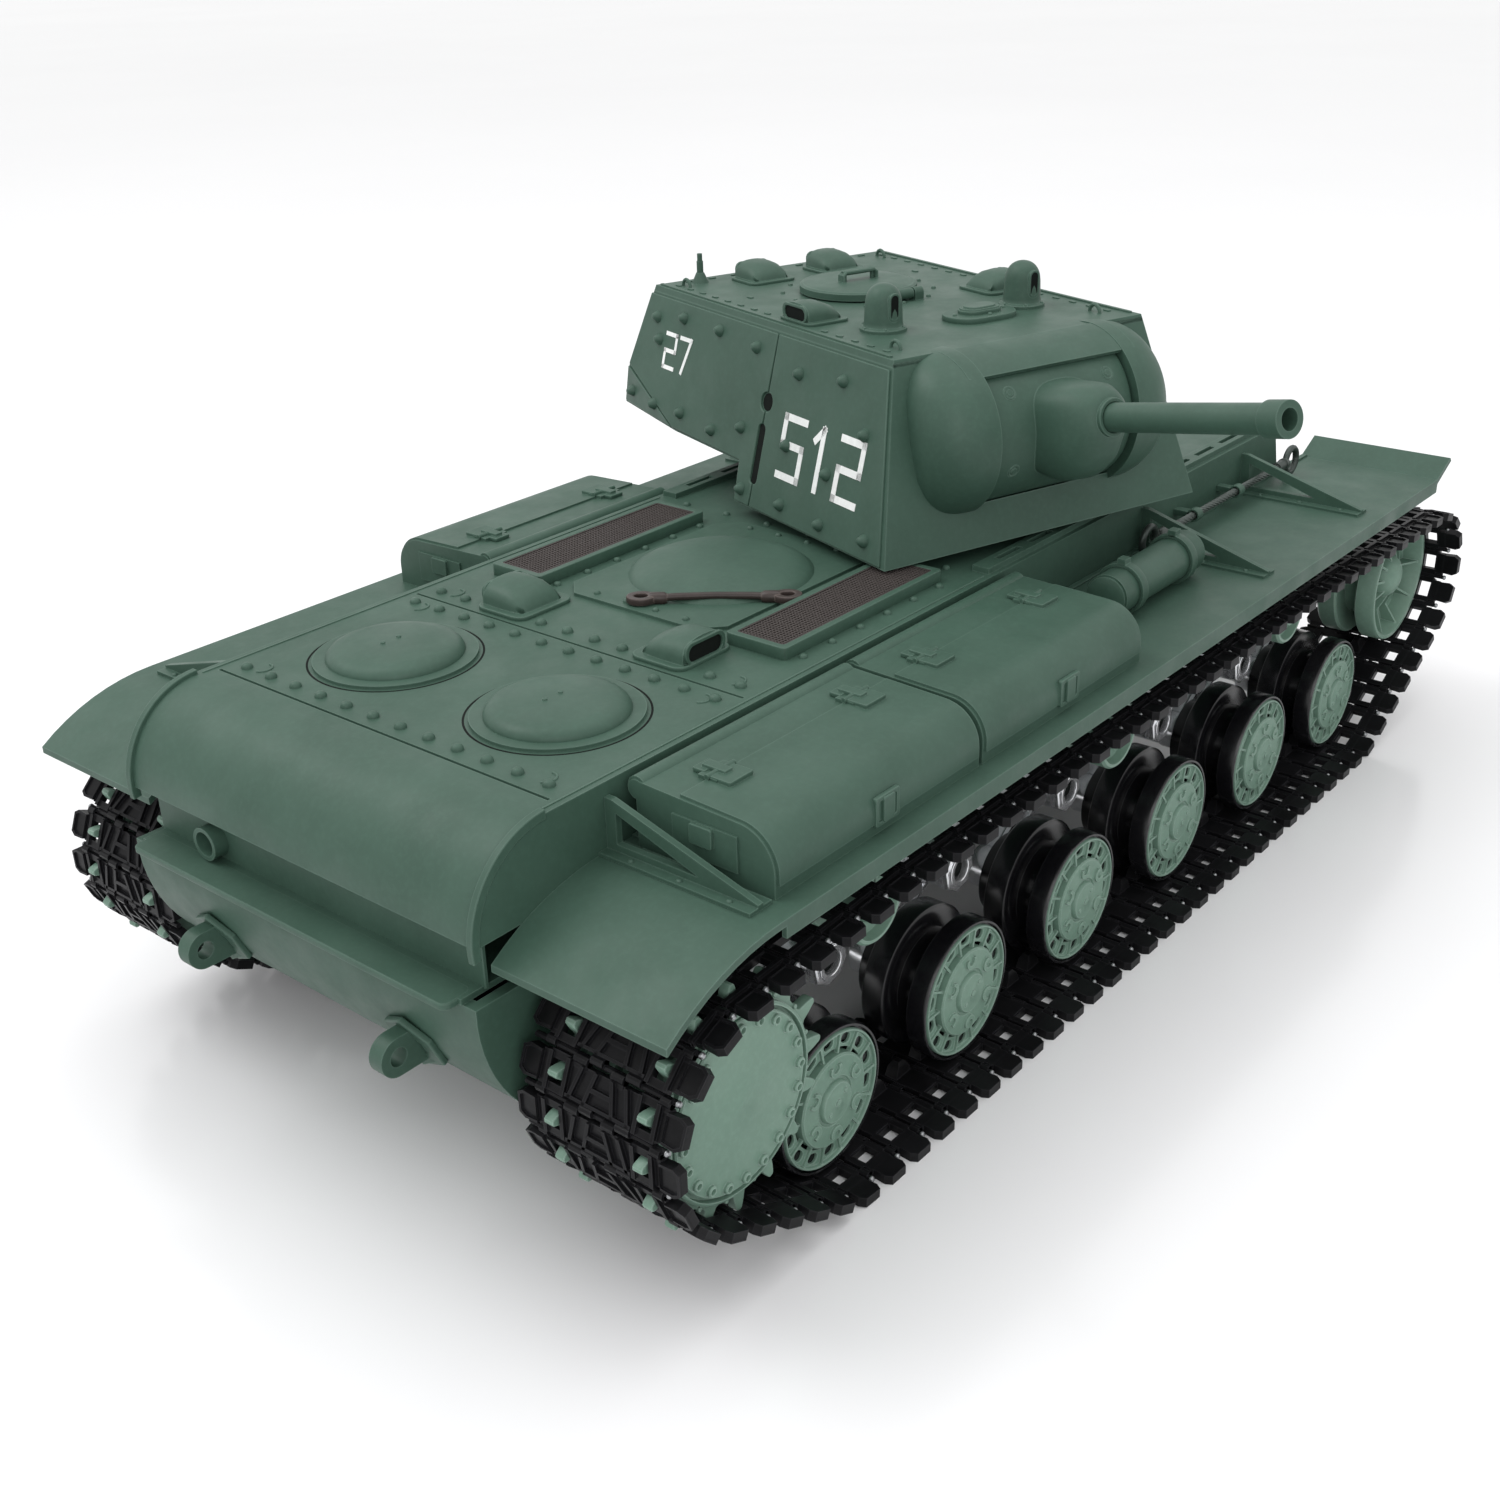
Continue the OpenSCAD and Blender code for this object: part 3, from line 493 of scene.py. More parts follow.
def build_tracks():
    links, joints = track_path()
    link = link_shape()
    track, pins = Shape(), Shape()
    half = TRACK_W / 2
    for x, z, turn in links:
        track.merge(link, move(x, -TRACK_MID, z) @ Matrix.Rotation(-turn, 4, "Y"))
    for x, z, turn in joints:
        at = outward(x, z, TRACK_MID + half - 4.6)
        track.lathe([(0.7, 6.0 - TRACK_W), (0.7, 0.5)], at, n=8)
        pins.lathe([(0.75, 0.2), (0.8, 0.55), (0.6, 0.9), (0.25, 1.05)], at, n=12)
    for side in SIDES:
        obj = piece(f"track_links_{side}", on_side(track, side), "track_black", "hull", smooth=30)
        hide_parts(f"track_{side}")
        piece(f"track_pins_{side}", on_side(pins, side), "gear_metal", "hull")


# ---------------------------------------------------------------- wheels
def ring_of(shape, count, radius, make, start=0.0):
    for k in range(count):
        a = start + 2 * math.pi * k / count
        make(shape, move(radius * math.cos(a), radius * math.sin(a), 0) @ spin(a))


def bolt(shape, at, z, r=0.7, h=0.5, n=6):
    shape.lathe([(r, z - 0.3), (r, z + h - 0.15), (r * 0.7, z + h)], at, n=n)


def wheel_face():
    """The light green outer disc of a road wheel; heights are distances out from the hull."""
    s = Shape()
    ovals = [oval(14.4 * math.cos(a), 14.4 * math.sin(a), 3.5, 2.5, a + math.pi / 2)
             for a in (2 * math.pi * (k + 0.5) / WHEEL_HOLES for k in range(WHEEL_HOLES))]
    r = WHEEL_FACE_R
    s.plate(washer(r, 12.4, 72, 64) + [o[::-1] for o in ovals], 89.2, 90.0, 0.12)
    rim = [(16.2, 88.6), (r, 88.6), (r, 90.7), (16.7, 91.0), (16.4, 91.0), (16.2, 90.7)]
    s.lathe(rim, n=72, loop=True)
    for k in range(WHEEL_HOLES):
        s.box((11.2, -0.28, 89.6), (16.5, 0.28, 90.7), spin(2 * math.pi * k / WHEEL_HOLES))
    # hub disc with crescents, centre cap and its screws
    s.lathe([(11.5, 87.5), (11.5, 91.2), (11.1, 91.6), (6.2, 91.7), (5.8, 91.3),
             (5.4, 91.3), (5.3, 92.1), (4.9, 92.5), (1.0, 92.6), (0.9, 92.65)], n=56)

    def crescent(shape, at):
        arc = circle(2.0, n=14, start=60, sweep=240)
        shape.plate([arc + [(0.55 * x + 0.3, 0.55 * y) for x, y in arc[::-1]]], 91.5, 92.3, 0.12, at)

    ring_of(s, 6, 8.7, crescent, math.pi / 6)
    s.lathe([(0.9, 92.4), (0.9, 93.0), (0.5, 93.2)], n=12)
    for k in range(2):
        bolt(s, spin(math.pi * k + 0.6) @ move(3.4, 0, 0), 92.4, 0.6, 0.5, n=8)
    return s


def wheel_tyre():
    s = Shape()
    r = WHEEL_R
    outer = [(13.6, GROOVE[1]), (r - 0.8, GROOVE[1]), (r, GROOVE[1] + 0.6), (r, RIM_OUT - 0.9),
             (r - 0.4, RIM_OUT - 0.2), (r - 0.9, RIM_OUT - 0.2), (r - 1.0, RIM_OUT - 1.6),
             (13.6, RIM_OUT - 1.8)]
    s.lathe(outer, n=72, loop=True)
    s.lathe([(8.0, 66.0), (11.0, 66.2), (11.2, 66.8), (11.2, 71.6), (r - 1.2, 71.9), (r - 0.4, RIM_IN + 0.2),
             (r, RIM_IN + 0.8), (r, GROOVE[0] - 0.6), (r - 0.8, GROOVE[0]), (12.5, GROOVE[0]), (12.5, 86.0),
             (8.0, 86.2)], n=72)
    return s


def roller_shape():
    s = Shape()
    r = ROLLER_R
    s.lathe([(4.2, 69.9), (r - 1, 70.0), (r, 70.6), (r, GROOVE[0] - 0.5), (r - 0.6, GROOVE[0]),
             (4.9, GROOVE[0]), (4.9, GROOVE[1]), (r - 0.6, GROOVE[1]), (r, GROOVE[1] + 0.5), (r, 90.2),
             (r - 0.6, 90.9), (r - 1.3, 90.9), (r - 2.2, 88.6), (4.4, 88.2), (3.8, 90.6), (3.2, 91.2),
             (1.2, 91.3)], n=48)

    def hole_ring(shape, at):
        shape.lathe([(0.85, 88.2), (0.85, 88.75), (0.5, 88.9)], at, n=10)

    ring_of(s, 6, 5.8, hole_ring)
    return s


def idler_shape():
    s = Shape()
    r = IDLER_R
    s.lathe([(6.0, 70.0), (6.0, 72.0), (r - 0.8, 72.0), (r, 72.8), (r, GROOVE[0] - 0.6), (r - 0.7, GROOVE[0]),
             (14.1, GROOVE[0]), (14.1, GROOVE[1]), (r - 0.7, GROOVE[1]), (r, GROOVE[1] + 0.6), (r, 91.3),
             (r - 0.5, 92.0), (r - 1.5, 91.9), (r - 2.1, 91.0), (r - 2.7, 85.6), (9.0, 84.2), (7.0, 84.2)],
            n=80)
    # dome hub with dimples and radial ribs
    s.lathe([(7.4, 83.0), (7.2, 88.2), (6.0, 90.2), (4.0, 91.4), (1.6, 91.9)], n=40)
    for k in range(10):
        a = 2 * math.pi * k / 10
        rib = [(6.4, 84.0), (r - 2.2, 84.6), (r - 2.0, 90.9), (12.0, 87.2), (6.6, 89.4)]
        s.prism(rib, -0.35, 0.35, spin(a) @ turn_by(90, "X"))

    def hole(shape, at):
        shape.lathe([(1.5, 84.0), (1.7, 85.1), (1.2, 85.2)], at, n=14)

    ring_of(s, 10, 12.6, hole, math.pi / 10)
    return s


def tooth_outline():
    root = PITCH_R - LINK_T / 2 - 1.2
    points = []
    for k in range(TEETH):
        a = 2 * math.pi * k / TEETH
        for r, half in ((root, -2.5), (root + 0.5, -1.9), (PITCH_R, -1.5), (PITCH_R + 2.0, -0.85),
                        (PITCH_R + 2.4, -0.4), (PITCH_R + 2.4, 0.4), (PITCH_R + 2.0, 0.85), (PITCH_R, 1.5),
                        (root + 0.5, 1.9), (root, 2.5)):
            b = a + math.atan2(half, r)
            points.append((r * math.cos(b), r * math.sin(b)))
    return points


def sprocket_shape():
    s = Shape()
    s.lathe([(8.0, 66.0), (8.0, 67.2), (20.5, 68.4), (20.5, GROOVE[0]), (17.6, GROOVE[0]), (17.6, GROOVE[1]),
             (20.5, GROOVE[1]), (20.5, 94.6), (21.9, 94.8), (21.9, 96.6), (21.5, 96.9), (21.1, 96.9),
             (21.0, 95.4), (20.3, 95.3), (20.2, 96.7), (19.9, 97.0), (1.0, 97.1), (0.9, 97.15)], n=96)
    for w in TOOTH_W:
        s.plate([tooth_outline(), circle(15, n=48)[::-1]], w - 1.3, w + 1.3, 0.3)
    nut = [(0.55, 96.9), (1.25, 96.9), (1.25, 97.7), (1.0, 97.95), (0.75, 97.95), (0.55, 97.3)]
    ring_of(s, SPROCKET_BOLTS, 18.3, lambda shape, at: shape.lathe(nut, at, n=14, loop=True))
    ring_of(s, TEETH, 22.9, lambda shape, at: bolt(shape, at, TOOTH_W[1] + 1.3, 0.6, 0.6), math.pi / TEETH)
    return s


def arm_shape(pivot, hub, boss):
    """A cast arm from the hull pivot to the axle, on the right side; its collar stands out by boss."""
    s = Shape()
    w0, w1 = ARM_W
    d = Vector((hub.x - pivot.x, hub.z - pivot.z))
    length = d.length
    turn = math.atan2(d.y, d.x)
    at = outward(pivot.x, pivot.z) @ spin(turn)
    lean = math.asin((6.2 - 5.4) / length)
    top = [(math.sin(lean) * 3.9, 3.9), (length, 3.6)]
    outline = top + [(length, -3.6), (math.sin(lean) * 3.9, -3.9)]
    s.plate([outline[::-1]], w0 + 1.2, w1 - 1.2, 0.8, at)
    for y in (-2.9, 2.9):
        s.box((4, y - 0.7, w0 + 0.6), (length - 4, y + 0.7, w1 - 0.6), at)
    s.plate(washer(6.0, PIVOT_HOLE_R, 40, 24), w0, w1 + boss - 2.6, 0.5, at)
    s.plate(washer(6.4, 3.7, 8, 32), w1 + boss - 3.6, w1 + boss - 0.4, 0.7, at)
    s.plate(washer(4.7, 3.1, 32, 32), w1 + boss - 2.0, w1 + boss, 0.3, at)
    s.plate([circle(6.0, length, 0, n=40)], w0, w1, 0.5, at)
    s.cyl(2.45, w1 - 0.5, 88.0, at @ move(length, 0, 0), n=24)
    return s


def turned_piece(name, shape, material, joint, body, node=None):
    """A wheel-like piece drawn about Z and set on its axle."""
    centre = joint_at(joint)
    at = outward(centre.x, centre.z)
    obj = piece(name, Shape().merge(shape, at if centre.y < 0 else MIRROR @ at), material, body)
    if node:
        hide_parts(node)
    return obj


def build_running_gear():
    face, tyre = wheel_face(), wheel_tyre()
    roller, idler, sprocket = roller_shape(), idler_shape(), sprocket_shape()
    # pale plates along the hull's lower sides behind the arms: painted light, standing in for the bright floor
    # under the hull where shade falls
    painted_light_sheet = Shape()
    painted_light_sheet.plate([rounded((-150.0, 29.0), (160.0, 47.0), 3.0)], 58.05, 58.7, 0.15, outward(0, 0))
    for spot in pivots:
        painted_light_sheet.plate([circle(7.6, spot.x, spot.z, n=32)], 58.2, 58.95, 0.15, outward(0, 0))
    both_sides("painted_light_plates", painted_light_sheet, "painted_light_grey")
    for side in SIDES:
        for k in range(1, 7):
            body = f"wheel_{side}_{k}"
            joint = f"wheel_spin_{side}_{k}"
            turned_piece(f"wheel_rims_{side}_{k}", tyre, "rim_black", joint, body, body)
            turned_piece(f"wheel_disc_{side}_{k}", face, "wheel_paint", joint, body)
            arm = arm_shape(pivots[k - 1], wheels[k - 1], ARM_BOSS if k < 6 else ARM_BOSS_LAST)
            obj = piece(f"swing_arm_{side}_{k}", on_side(arm, side), "arm_metal", f"arm_{side}_{k}")
            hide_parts(f"arm_{side}_{k}")
            if k < 6:
                socket = Shape()
                socket.plate([circle(3.3, n=24)], 0.0, 0.5, 0.0,
                             outward(pivots[k - 1].x, pivots[k - 1].z, ARM_W[1] + ARM_BOSS - 2.6))
                piece(f"arm_socket_{side}_{k}", on_side(socket, side), "shadow", f"arm_{side}_{k}")
        for k in range(1, 4):
            body = f"roller_{side}_{k}"
            joint = f"roller_spin_{side}_{k}"
            turned_piece(f"return_roller_{side}_{k}", roller, "wheel_paint", joint, body, body)
        turned_piece(f"idler_wheel_{side}", idler, "wheel_paint", f"idler_spin_{side}", f"idler_{side}",
                     f"idler_{side}")
        turned_piece(f"drive_sprocket_{side}", sprocket, "wheel_paint", f"drive_{side}", f"sprocket_{side}",
                     f"sprocket_{side}")


# ---------------------------------------------------------------- deck details
hull_low, hull_high = box_mm("upper_hull")
DECK = box_mm("deck_covers")[0].z + 2.6
GROOVES = (-178.9, -118.7)
MESH_BARS, MESH_RODS = 58, 14
LINK_STRETCH = 1.16
RIVETS, RIVET_STEP = 12, 9.1
ROW_OFFSET = 4.4
COVER_X, COVER_Y = -149.0, 27.0
VENT_X, VENT_Y, VENT_SCALE = -107.6, 27.0, 1.2
HATCH_DOME_X = -62.0
OVERHANG_R, OVERHANG_X = 21.0, -183.5
TAIL_X, TAIL_Z, TAIL_R = -166.0, 68.0, 40.0
TOW_EYE_Y, TOW_EYE_Z = 33.5, 51.0
GUARD_Z = 71.4


def rivet(shape, at, r=1.45, h=1.3):
    dome = [(r, -0.15), (r * 0.97, h * 0.3), (r * 0.8, h * 0.68), (r * 0.5, h * 0.92), (r * 0.15, h)]
    shape.lathe(dome, at, n=14)


def build_deck():
    # rows of rivets along the cross grooves, the intakes, the engine hatch and the turret ring
    rivets = Shape()
    for groove in GROOVES:
        for offset in (-ROW_OFFSET, ROW_OFFSET) if groove == GROOVES[1] else (ROW_OFFSET,):
            for k in range(RIVETS):
                rivet(rivets, move(groove + offset, RIVET_STEP * (k - (RIVETS - 1) / 2), DECK))
    hatch_low, hatch_high = box_mm("engine_hatch")
    grille_low, grille_high = box_mm("intake_grilles")
    for k in range(6):
        x = grille_low.x + 4 + k * (grille_high.x - grille_low.x - 8) / 5
        for s in (-1, 1):
            rivet(rivets, move(x, s * 29.4, DECK), 1.1, 0.95)
            rivet(rivets, move(x, s * (grille_high.y + 2.2), DECK), 1.1, 0.95)
    for x in (hatch_low.x + 3, hatch_high.x - 3):
        for k in range(4):
            rivet(rivets, move(x, -15 + 10 * k, DECK + 0.9), 0.9, 0.8)
    for k in range(7):
        rivet(rivets, move(-24.5, -45 + 15 * k, DECK), 1.1, 0.95)
    piece("deck_rivets", rivets, "hull_paint", "hull")

    # pressed domes of the round covers, in a fine groove, with two plugs in each
    domes, grooves = Shape(), Shape()
    dish = [(16.4, 0.5), (16.4, 1.0), (16.1, 1.7), (15.3, 2.6), (14.0, 3.2), (12.0, 3.5), (1.0, 3.7)]
    for y in (-COVER_Y, COVER_Y):
        at = move(COVER_X, y, DECK)
        domes.lathe(dish, at, n=72)
        grooves.plate(washer(20.9, 20.4, 80, 80), -0.05, 0.04, 0.0, at)
        for x in (-2.2, 2.6):
            domes.lathe([(0.6, 3.5), (0.6, 4.0), (0.4, 4.1)], at @ move(x, 1.5, 0), n=10)
    domes.lathe([(24.4, 0.6), (24.2, 1.0), (22.6, 2.3), (19.8, 3.6), (16.0, 4.4), (10.0, 4.9), (1.0, 5.1)],
                move(HATCH_DOME_X, 0, DECK), n=80)
    piece("deck_domes", domes, "hull_paint", "hull")
    piece("deck_grooves", grooves, "shadow", "hull")
    marks = Shape()
    for x in (-112.5, -124.5, -172.5):
        for y in (-47, 47):
            arc = circle(2.4, x, y, n=7, start=200, sweep=168)
            marks.tube([(u, v, DECK + 0.05) for u, v in arc], 0.28, 8)
    piece("lifting_hooks", marks, "hull_paint", "hull")

    # wire mesh in the intake frames
    mesh = Shape()
    for s in (-1, 1):
        y0, y1 = s * 33.2, s * 47.3
        low, high = min(y0, y1), max(y0, y1)
        for k in range(MESH_BARS + 1):
            x = grille_low.x + 2 + k * (grille_high.x - grille_low.x - 4) / MESH_BARS
            mesh.box((x - 0.17, low, DECK + 2.3), (x + 0.17, high, DECK + 2.75))
        for k in range(MESH_RODS + 1):
            y = low + k * (high - low) / MESH_RODS
            mesh.box((grille_low.x + 2, y - 0.15, DECK + 2.45), (grille_high.x - 2, y + 0.15, DECK + 2.85))
    piece("intake_mesh", mesh, "grille_brown", "hull")
    frames = Shape()
    for s in (-1, 1):
        low = (grille_low.x - 0.4, min(s * 31.2, s * 49.3), DECK)
        high = (grille_high.x + 0.4, max(s * 31.2, s * 49.3), DECK + 3.05)
        outer = rounded((low[0], low[1]), (high[0], high[1]), 1.2)
        inner = rounded((low[0] + 2.0, low[1] + 1.9), (high[0] - 2.0, high[1] - 1.9), 0.8)
        frames.plate([outer, inner[::-1]], DECK - 0.1, DECK + 3.15, 0.3)
    piece("intake_frames", frames, "hull_paint", "hull")

    # air vents that open outwards
    cowls, mouths = Shape(), Shape()
    for s in (-1, 1):
        at = move(VENT_X, s * VENT_Y, DECK) @ turn_by(90 * s, "Z") @ Matrix.Scale(VENT_SCALE, 4)
        roof_cowl(cowls, mouths, at)
    obj = piece("vent_scoops", cowls, "hull_paint", "hull", bevel=0.15)
    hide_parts("vent_cowls")
    piece("vent_scoop_mouths", mouths, "shadow", "hull")

    # forked tow link
    low, high = box_mm("deck_link")
    middle = (low + high) / 2
    turn = math.radians(-52)
    at = move(middle.x, middle.y, middle.z + 0.1) @ spin(turn) @ Matrix.Diagonal((LINK_STRETCH, 1, 1, 1))
    link = Shape()
    rod = [(-13, 0, 0), (-8, 0, 0.35), (0, 0, 0.5), (8, 0, 0.35), (13, 0, 0)]
    link.tube(rod, 0.95, 12, at)
    for s in (-1, 1):
        eye = [circle(3.2, s * 15.8, 0, n=28), circle(1.5, s * 15.8, 0, n=20)[::-1]]
        link.plate(eye, -0.9, 0.9, 0.35, at)
        link.lathe([(1.3, 0), (1.6, 0.6), (1.6, 3.4), (1.2, 4.0)], at @ move(s * 14.2, 0, 0)
                   @ turn_by(-90 * s, "Y"), n=16)
    obj = piece("tow_link", link, "tool_brown", "hull")
    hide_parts("deck_link")

    # tail: lip of the guard plate, wall of the air outlet, pads of the tow eyes, rims of the overhang's sides
    tail = Shape()
    tail.plate([rounded((-210.0, -53.4), (-202.0, 53.4), 2.0)], GUARD_Z - 1.6, GUARD_Z + 0.05, 0.3)
    tail.box((-200.4, -55.0, GUARD_Z - 0.5), (-199.4, 55.0, GUARD_Z + 14.6))
    lean = Matrix.Rotation(math.radians(-90) - math.asin((TAIL_Z - TOW_EYE_Z) / TAIL_R), 4, "Y")
    for s in (-1, 1):
        at = move(TAIL_X, s * TOW_EYE_Y, TAIL_Z) @ lean @ move(0, 0, TAIL_R)
        tail.plate(washer(8.2, 3.6, 6, 6), -0.2, 1.3, 0.3, at)
        profile = [(OVERHANG_X - r * math.sin(a), DECK - OVERHANG_R + r * math.cos(a))
                   for r, turns in ((22.0, range(0, 21)), (19.8, range(20, -1, -1)))
                   for a in (math.radians(4.9 * k) for k in turns)]
        edge = [[(x, s * 56.6, z) for x, z in profile], [(x, s * 58.3, z) for x, z in profile]]
        tail.rings(edge if s > 0 else edge[::-1])
    piece("tail_fittings", tail, "hull_paint", "hull", bevel=0.2)

    # fine step line along both sides of the deck
    lines = Shape()
    for s in (-1, 1):
        lines.box((hull_low.x + 22, s * 56.2 - 0.25, DECK - 0.1), (-24, s * 56.2 + 0.25, DECK + 0.25))
    piece("deck_edge_strips", lines, "hull_paint", "hull", bevel=0.1)


# ---------------------------------------------------------------- boxes, fenders and side stowage
BOX_STARTS = {"right": (-162.0, -88.6), "left": (-88.6,)}
BOX_LENGTH = 72.0
BOX_INNER_W, BOX_FLAT_W, BOX_OUTER_W = 73.4, 89.0, 98.0
BOX_EDGE_R, LID_LIFT, LID_FOOT_Z = 9.0, 0.55, 91.5
TANK_Y = -78.0
CABLE_W, CABLE_Z = 64.2, 94.0
CABLE_X = (58.0, 139.0)
STRANDS, STRAND_STEPS, STRAND_TURNS = 6, 96, 14


def box_lid(top):
    """The lid's section in (distance out, height): flat top, rounded shoulder and short side, then back."""
    lift_r = BOX_EDGE_R + LID_LIFT
    under = [(BOX_INNER_W, top - 0.4), (BOX_FLAT_W, top - 1.0)]
    under += [(BOX_FLAT_W + BOX_EDGE_R * math.sin(a), top - 10.0 + BOX_EDGE_R * math.cos(a))
              for a in (math.radians(9 * k) for k in range(1, 11))] + [(BOX_OUTER_W, LID_FOOT_Z)]
    over = [(BOX_OUTER_W + LID_LIFT, LID_FOOT_Z), (BOX_OUTER_W + LID_LIFT, top - 10.0)]
    over += [(BOX_FLAT_W + lift_r * math.sin(a), top - 10.0 + lift_r * math.cos(a))
             for a in (math.radians(90 - 9 * k) for k in range(1, 11))] + [(BOX_INNER_W, top + 0.15)]
    return under + over


def build_side_gear():
    low, high = box_mm("stowage_boxes")
    top = high.z - 0.6
    fend = low.z
    length = BOX_LENGTH
    section = box_lid(top)
    for side, places in BOX_STARTS.items():
        details = Shape()
        for x in places:
            # lid over the top and shoulder, hinges, latches and end plates
            details.rings([[(u, -w, z) for w, z in section] for u in (x + length - 0.8, x + 0.8)])
            details.tube([(x + 0.4, -62.0, top - 1.6), (x + length - 0.4, -62.0, top - 1.6)], 2.45, 16)
            for u in (0.18, 0.82):
                hx = x + u * length
                details.plate([rounded((hx - 3.8, -79.4), (hx + 3.8, -73.6), 0.5)], top - 0.4, top + 0.9, 0.2)
                details.plate([rounded((hx - 1.3, -76.0), (hx + 1.3, -69.6), 0.4)], top - 0.2, top + 1.5, 0.2)
                details.plate([rounded((hx - 2.6, -71.6), (hx + 2.6, -68.2), 0.4)], top - 0.2, top + 0.8, 0.2)
                details.tube([(hx - 4.4, -73.6, top + 0.7), (hx + 4.4, -73.6, top + 0.7)], 0.65, 10)
            at = outward(x + length / 2, 94.6, 98.0)
            edges = [rounded((-4.2, -3.8), (4.2, 3.0), 0.6), rounded((-3.1, -2.8), (3.1, 2.0), 0.4)[::-1]]
            details.plate(edges, 0, 1.1, 0.2, at)
            details.plate([rounded((-1.9, -3.2), (1.9, 2.6), 0.5)], 0.2, 1.5, 0.2, at)
            details.box((x - 0.5, -89.0, fend + 3), (x + 0.2, -72.0, top - 4))
            end = move(x, -80, 0) @ FACE_REAR
            details.plate([rounded((-3.0, 95.0), (3.0, 99.6), 0.6)], 0.4, 1.3, 0.2, end)
        both_sides("box_fittings", details, "hull_paint", sides=(side,))

    # strip along the fender's inner edge and the rivets of the brackets' feet
    strips = Shape()
    strips.box((-160, -59.9, fend), (170, -58.2, fend + 0.7))
    for x in (-166.5, 123, 58):
        for k in range(3):
            rivet(strips, move(x + 2.2, -66 - 13 * k, fend + 0.8), 0.7, 0.5)
            rivet(strips, move(x - 2.2, -66 - 13 * k, fend + 0.8), 0.7, 0.5)
    both_sides("fender_strips", strips, "hull_paint", bevel=0.1)

    # spare tank: straps and end caps
    straps = Shape()
    tank_z = fend + 6.8
    for x in (10.2, 38.2):
        at = move(x, TANK_Y, tank_z) @ turn_by(90, "Y")
        straps.plate(washer(7.1, 6.2, 40, 40), -1.5, 1.5, 0.15, at)
        straps.box((x - 1.5, TANK_Y - 1.2, tank_z + 6.6), (x + 1.5, TANK_Y + 1.2, tank_z + 8.4))
    for x, out in ((2.0, -1), (46.0, 1)):
        at = move(x, TANK_Y, tank_z) @ turn_by(90 * out, "Y")
        straps.lathe([(5.6, -0.3), (5.5, 0.5), (4.2, 1.1), (2.0, 1.3)], at, n=32)
    piece("tank_straps", straps, "hull_paint", "hull")

    # twisted tow cable with crimped eyes
    cable = Shape()
    z, w = CABLE_Z, CABLE_W
    x0, x1 = CABLE_X
    for k in range(STRANDS):
        phase = 2 * math.pi * k / STRANDS
        path = []
        for i in range(STRAND_STEPS + 1):
            u = i / STRAND_STEPS
            a = phase + u * STRAND_TURNS * math.pi
            path.append((x0 + (x1 - x0) * u, -w + 0.72 * math.cos(a), z + 0.72 * math.sin(a)))
        cable.tube(path, 0.46, 6)
    cable.cyl(0.75, x0, x1, move(0, -w, z) @ turn_by(90, "Y"), n=8)
    for x, s in ((51.0, 1), (146.0, -1)):
        turns = [2 * math.pi * i / 28 for i in range(29)]
        cable.tube([(x + 4.0 * math.cos(t), -w, z + 4.0 * math.sin(t)) for t in turns], 1.05, 10)
        cable.tube([(x + s * 3.6, -w, z), (x + s * 10.6, -w, z)], 1.7, 14)
        cable.tube([(x + s * 5.0, -w, z), (x + s * 5.8, -w, z)], 1.95, 14)
    obj = piece("tow_rope", cable, "cable_steel", "hull")
    clips = Shape()
    for x in (78.0, 106.0):
        clips.box((x, -w + 1.0, z - 0.9), (x + 3, -hull_high.y, z + 0.9))
        clips.plate(washer(2.0, 1.35, 24, 20), 0, 3.0, 0.15,
                    move(x, -w, z) @ turn_by(90, "Y"))
    piece("cable_clips", clips, "hull_paint", "hull", bevel=0.1)
    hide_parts("tow_cable")


# ---------------------------------------------------------------- turret
yaw_at = joint_at("turret_yaw")
hinge_axis = Vector(JOINTS["hatch_hinge"]["axis"])
TURRET = move(yaw_at.x, 0, 0) @ spin(math.atan2(-hinge_axis.x, hinge_axis.y))
GUN_REST = math.radians(12)
gun_at = TURRET.inverted() @ joint_at("gun_elevation")
GUN = TURRET @ move(gun_at.x, 0, gun_at.z) @ Matrix.Rotation(-GUN_REST, 4, "Y")
ROOF = 157.6
FOOT = 108.0
SEAM = -5.0
BUSTLE = 118.8
SLIT = (114.6, 131.0)
SLIT_R = 1.5
PORT_Z = 137.0
PORT_R = 2.6
BASE_HW, ROOF_HW, TAIL_HW = 55.0, 42.0, 47.4
HATCH_X, HATCH_RIVETS_R = -28, 22.2
DIGIT_STEP, DIGIT_GAP, STROKE_HALF = 8.6, 2.6, 0.62
NUMBERS = (("27", -62.0, 136.0, 0.95), ("512", 6.0, 120.0, 1.55))
WALL_BOLTS = ((8, 147), (28, 149), (41, 138), (8, 128), (28, 125), (10, 112.5), (29, 112), (49, 113),
              (-14, 150), (-34, 151), (-54, 151), (-69, 149), (-15, 128), (-30, 124), (-48, 125),
              (-66, 143), (-10, 112), (-64, 124.5), (-80, 125))


def wall_w(x, z):
    """Half-width of the turret at a place on its side wall."""
    slope = BASE_HW - (z - (FOOT - 4)) * (BASE_HW - ROOF_HW) / (ROOF - FOOT + 4)
    taper = BASE_HW if x > -13 else BASE_HW + (x + 13) * (BASE_HW - TAIL_HW) / 75
    return min(slope, taper)


def wall_frame(x, z, s):
    """A frame on the side wall: X forward, Y up the wall, Z out of it; s is -1 on the right side."""
    p = Vector((x, s * wall_w(x, z), z))
    ahead = Vector((x + 1, s * wall_w(x + 1, z), z)) - p
    up = Vector((x, s * wall_w(x, z + 1), z + 1)) - p
    ahead.normalize()
    out = ahead.cross(up).normalized() * (1 if s < 0 else -1)
    up = out.cross(ahead) * (1 if s < 0 else -1)
    frame_m = Matrix.Identity(4)
    for i, axis in enumerate((ahead, up.normalized(), out)):
        frame_m.col[i][:3] = axis
    frame_m.translation = p
    return frame_m


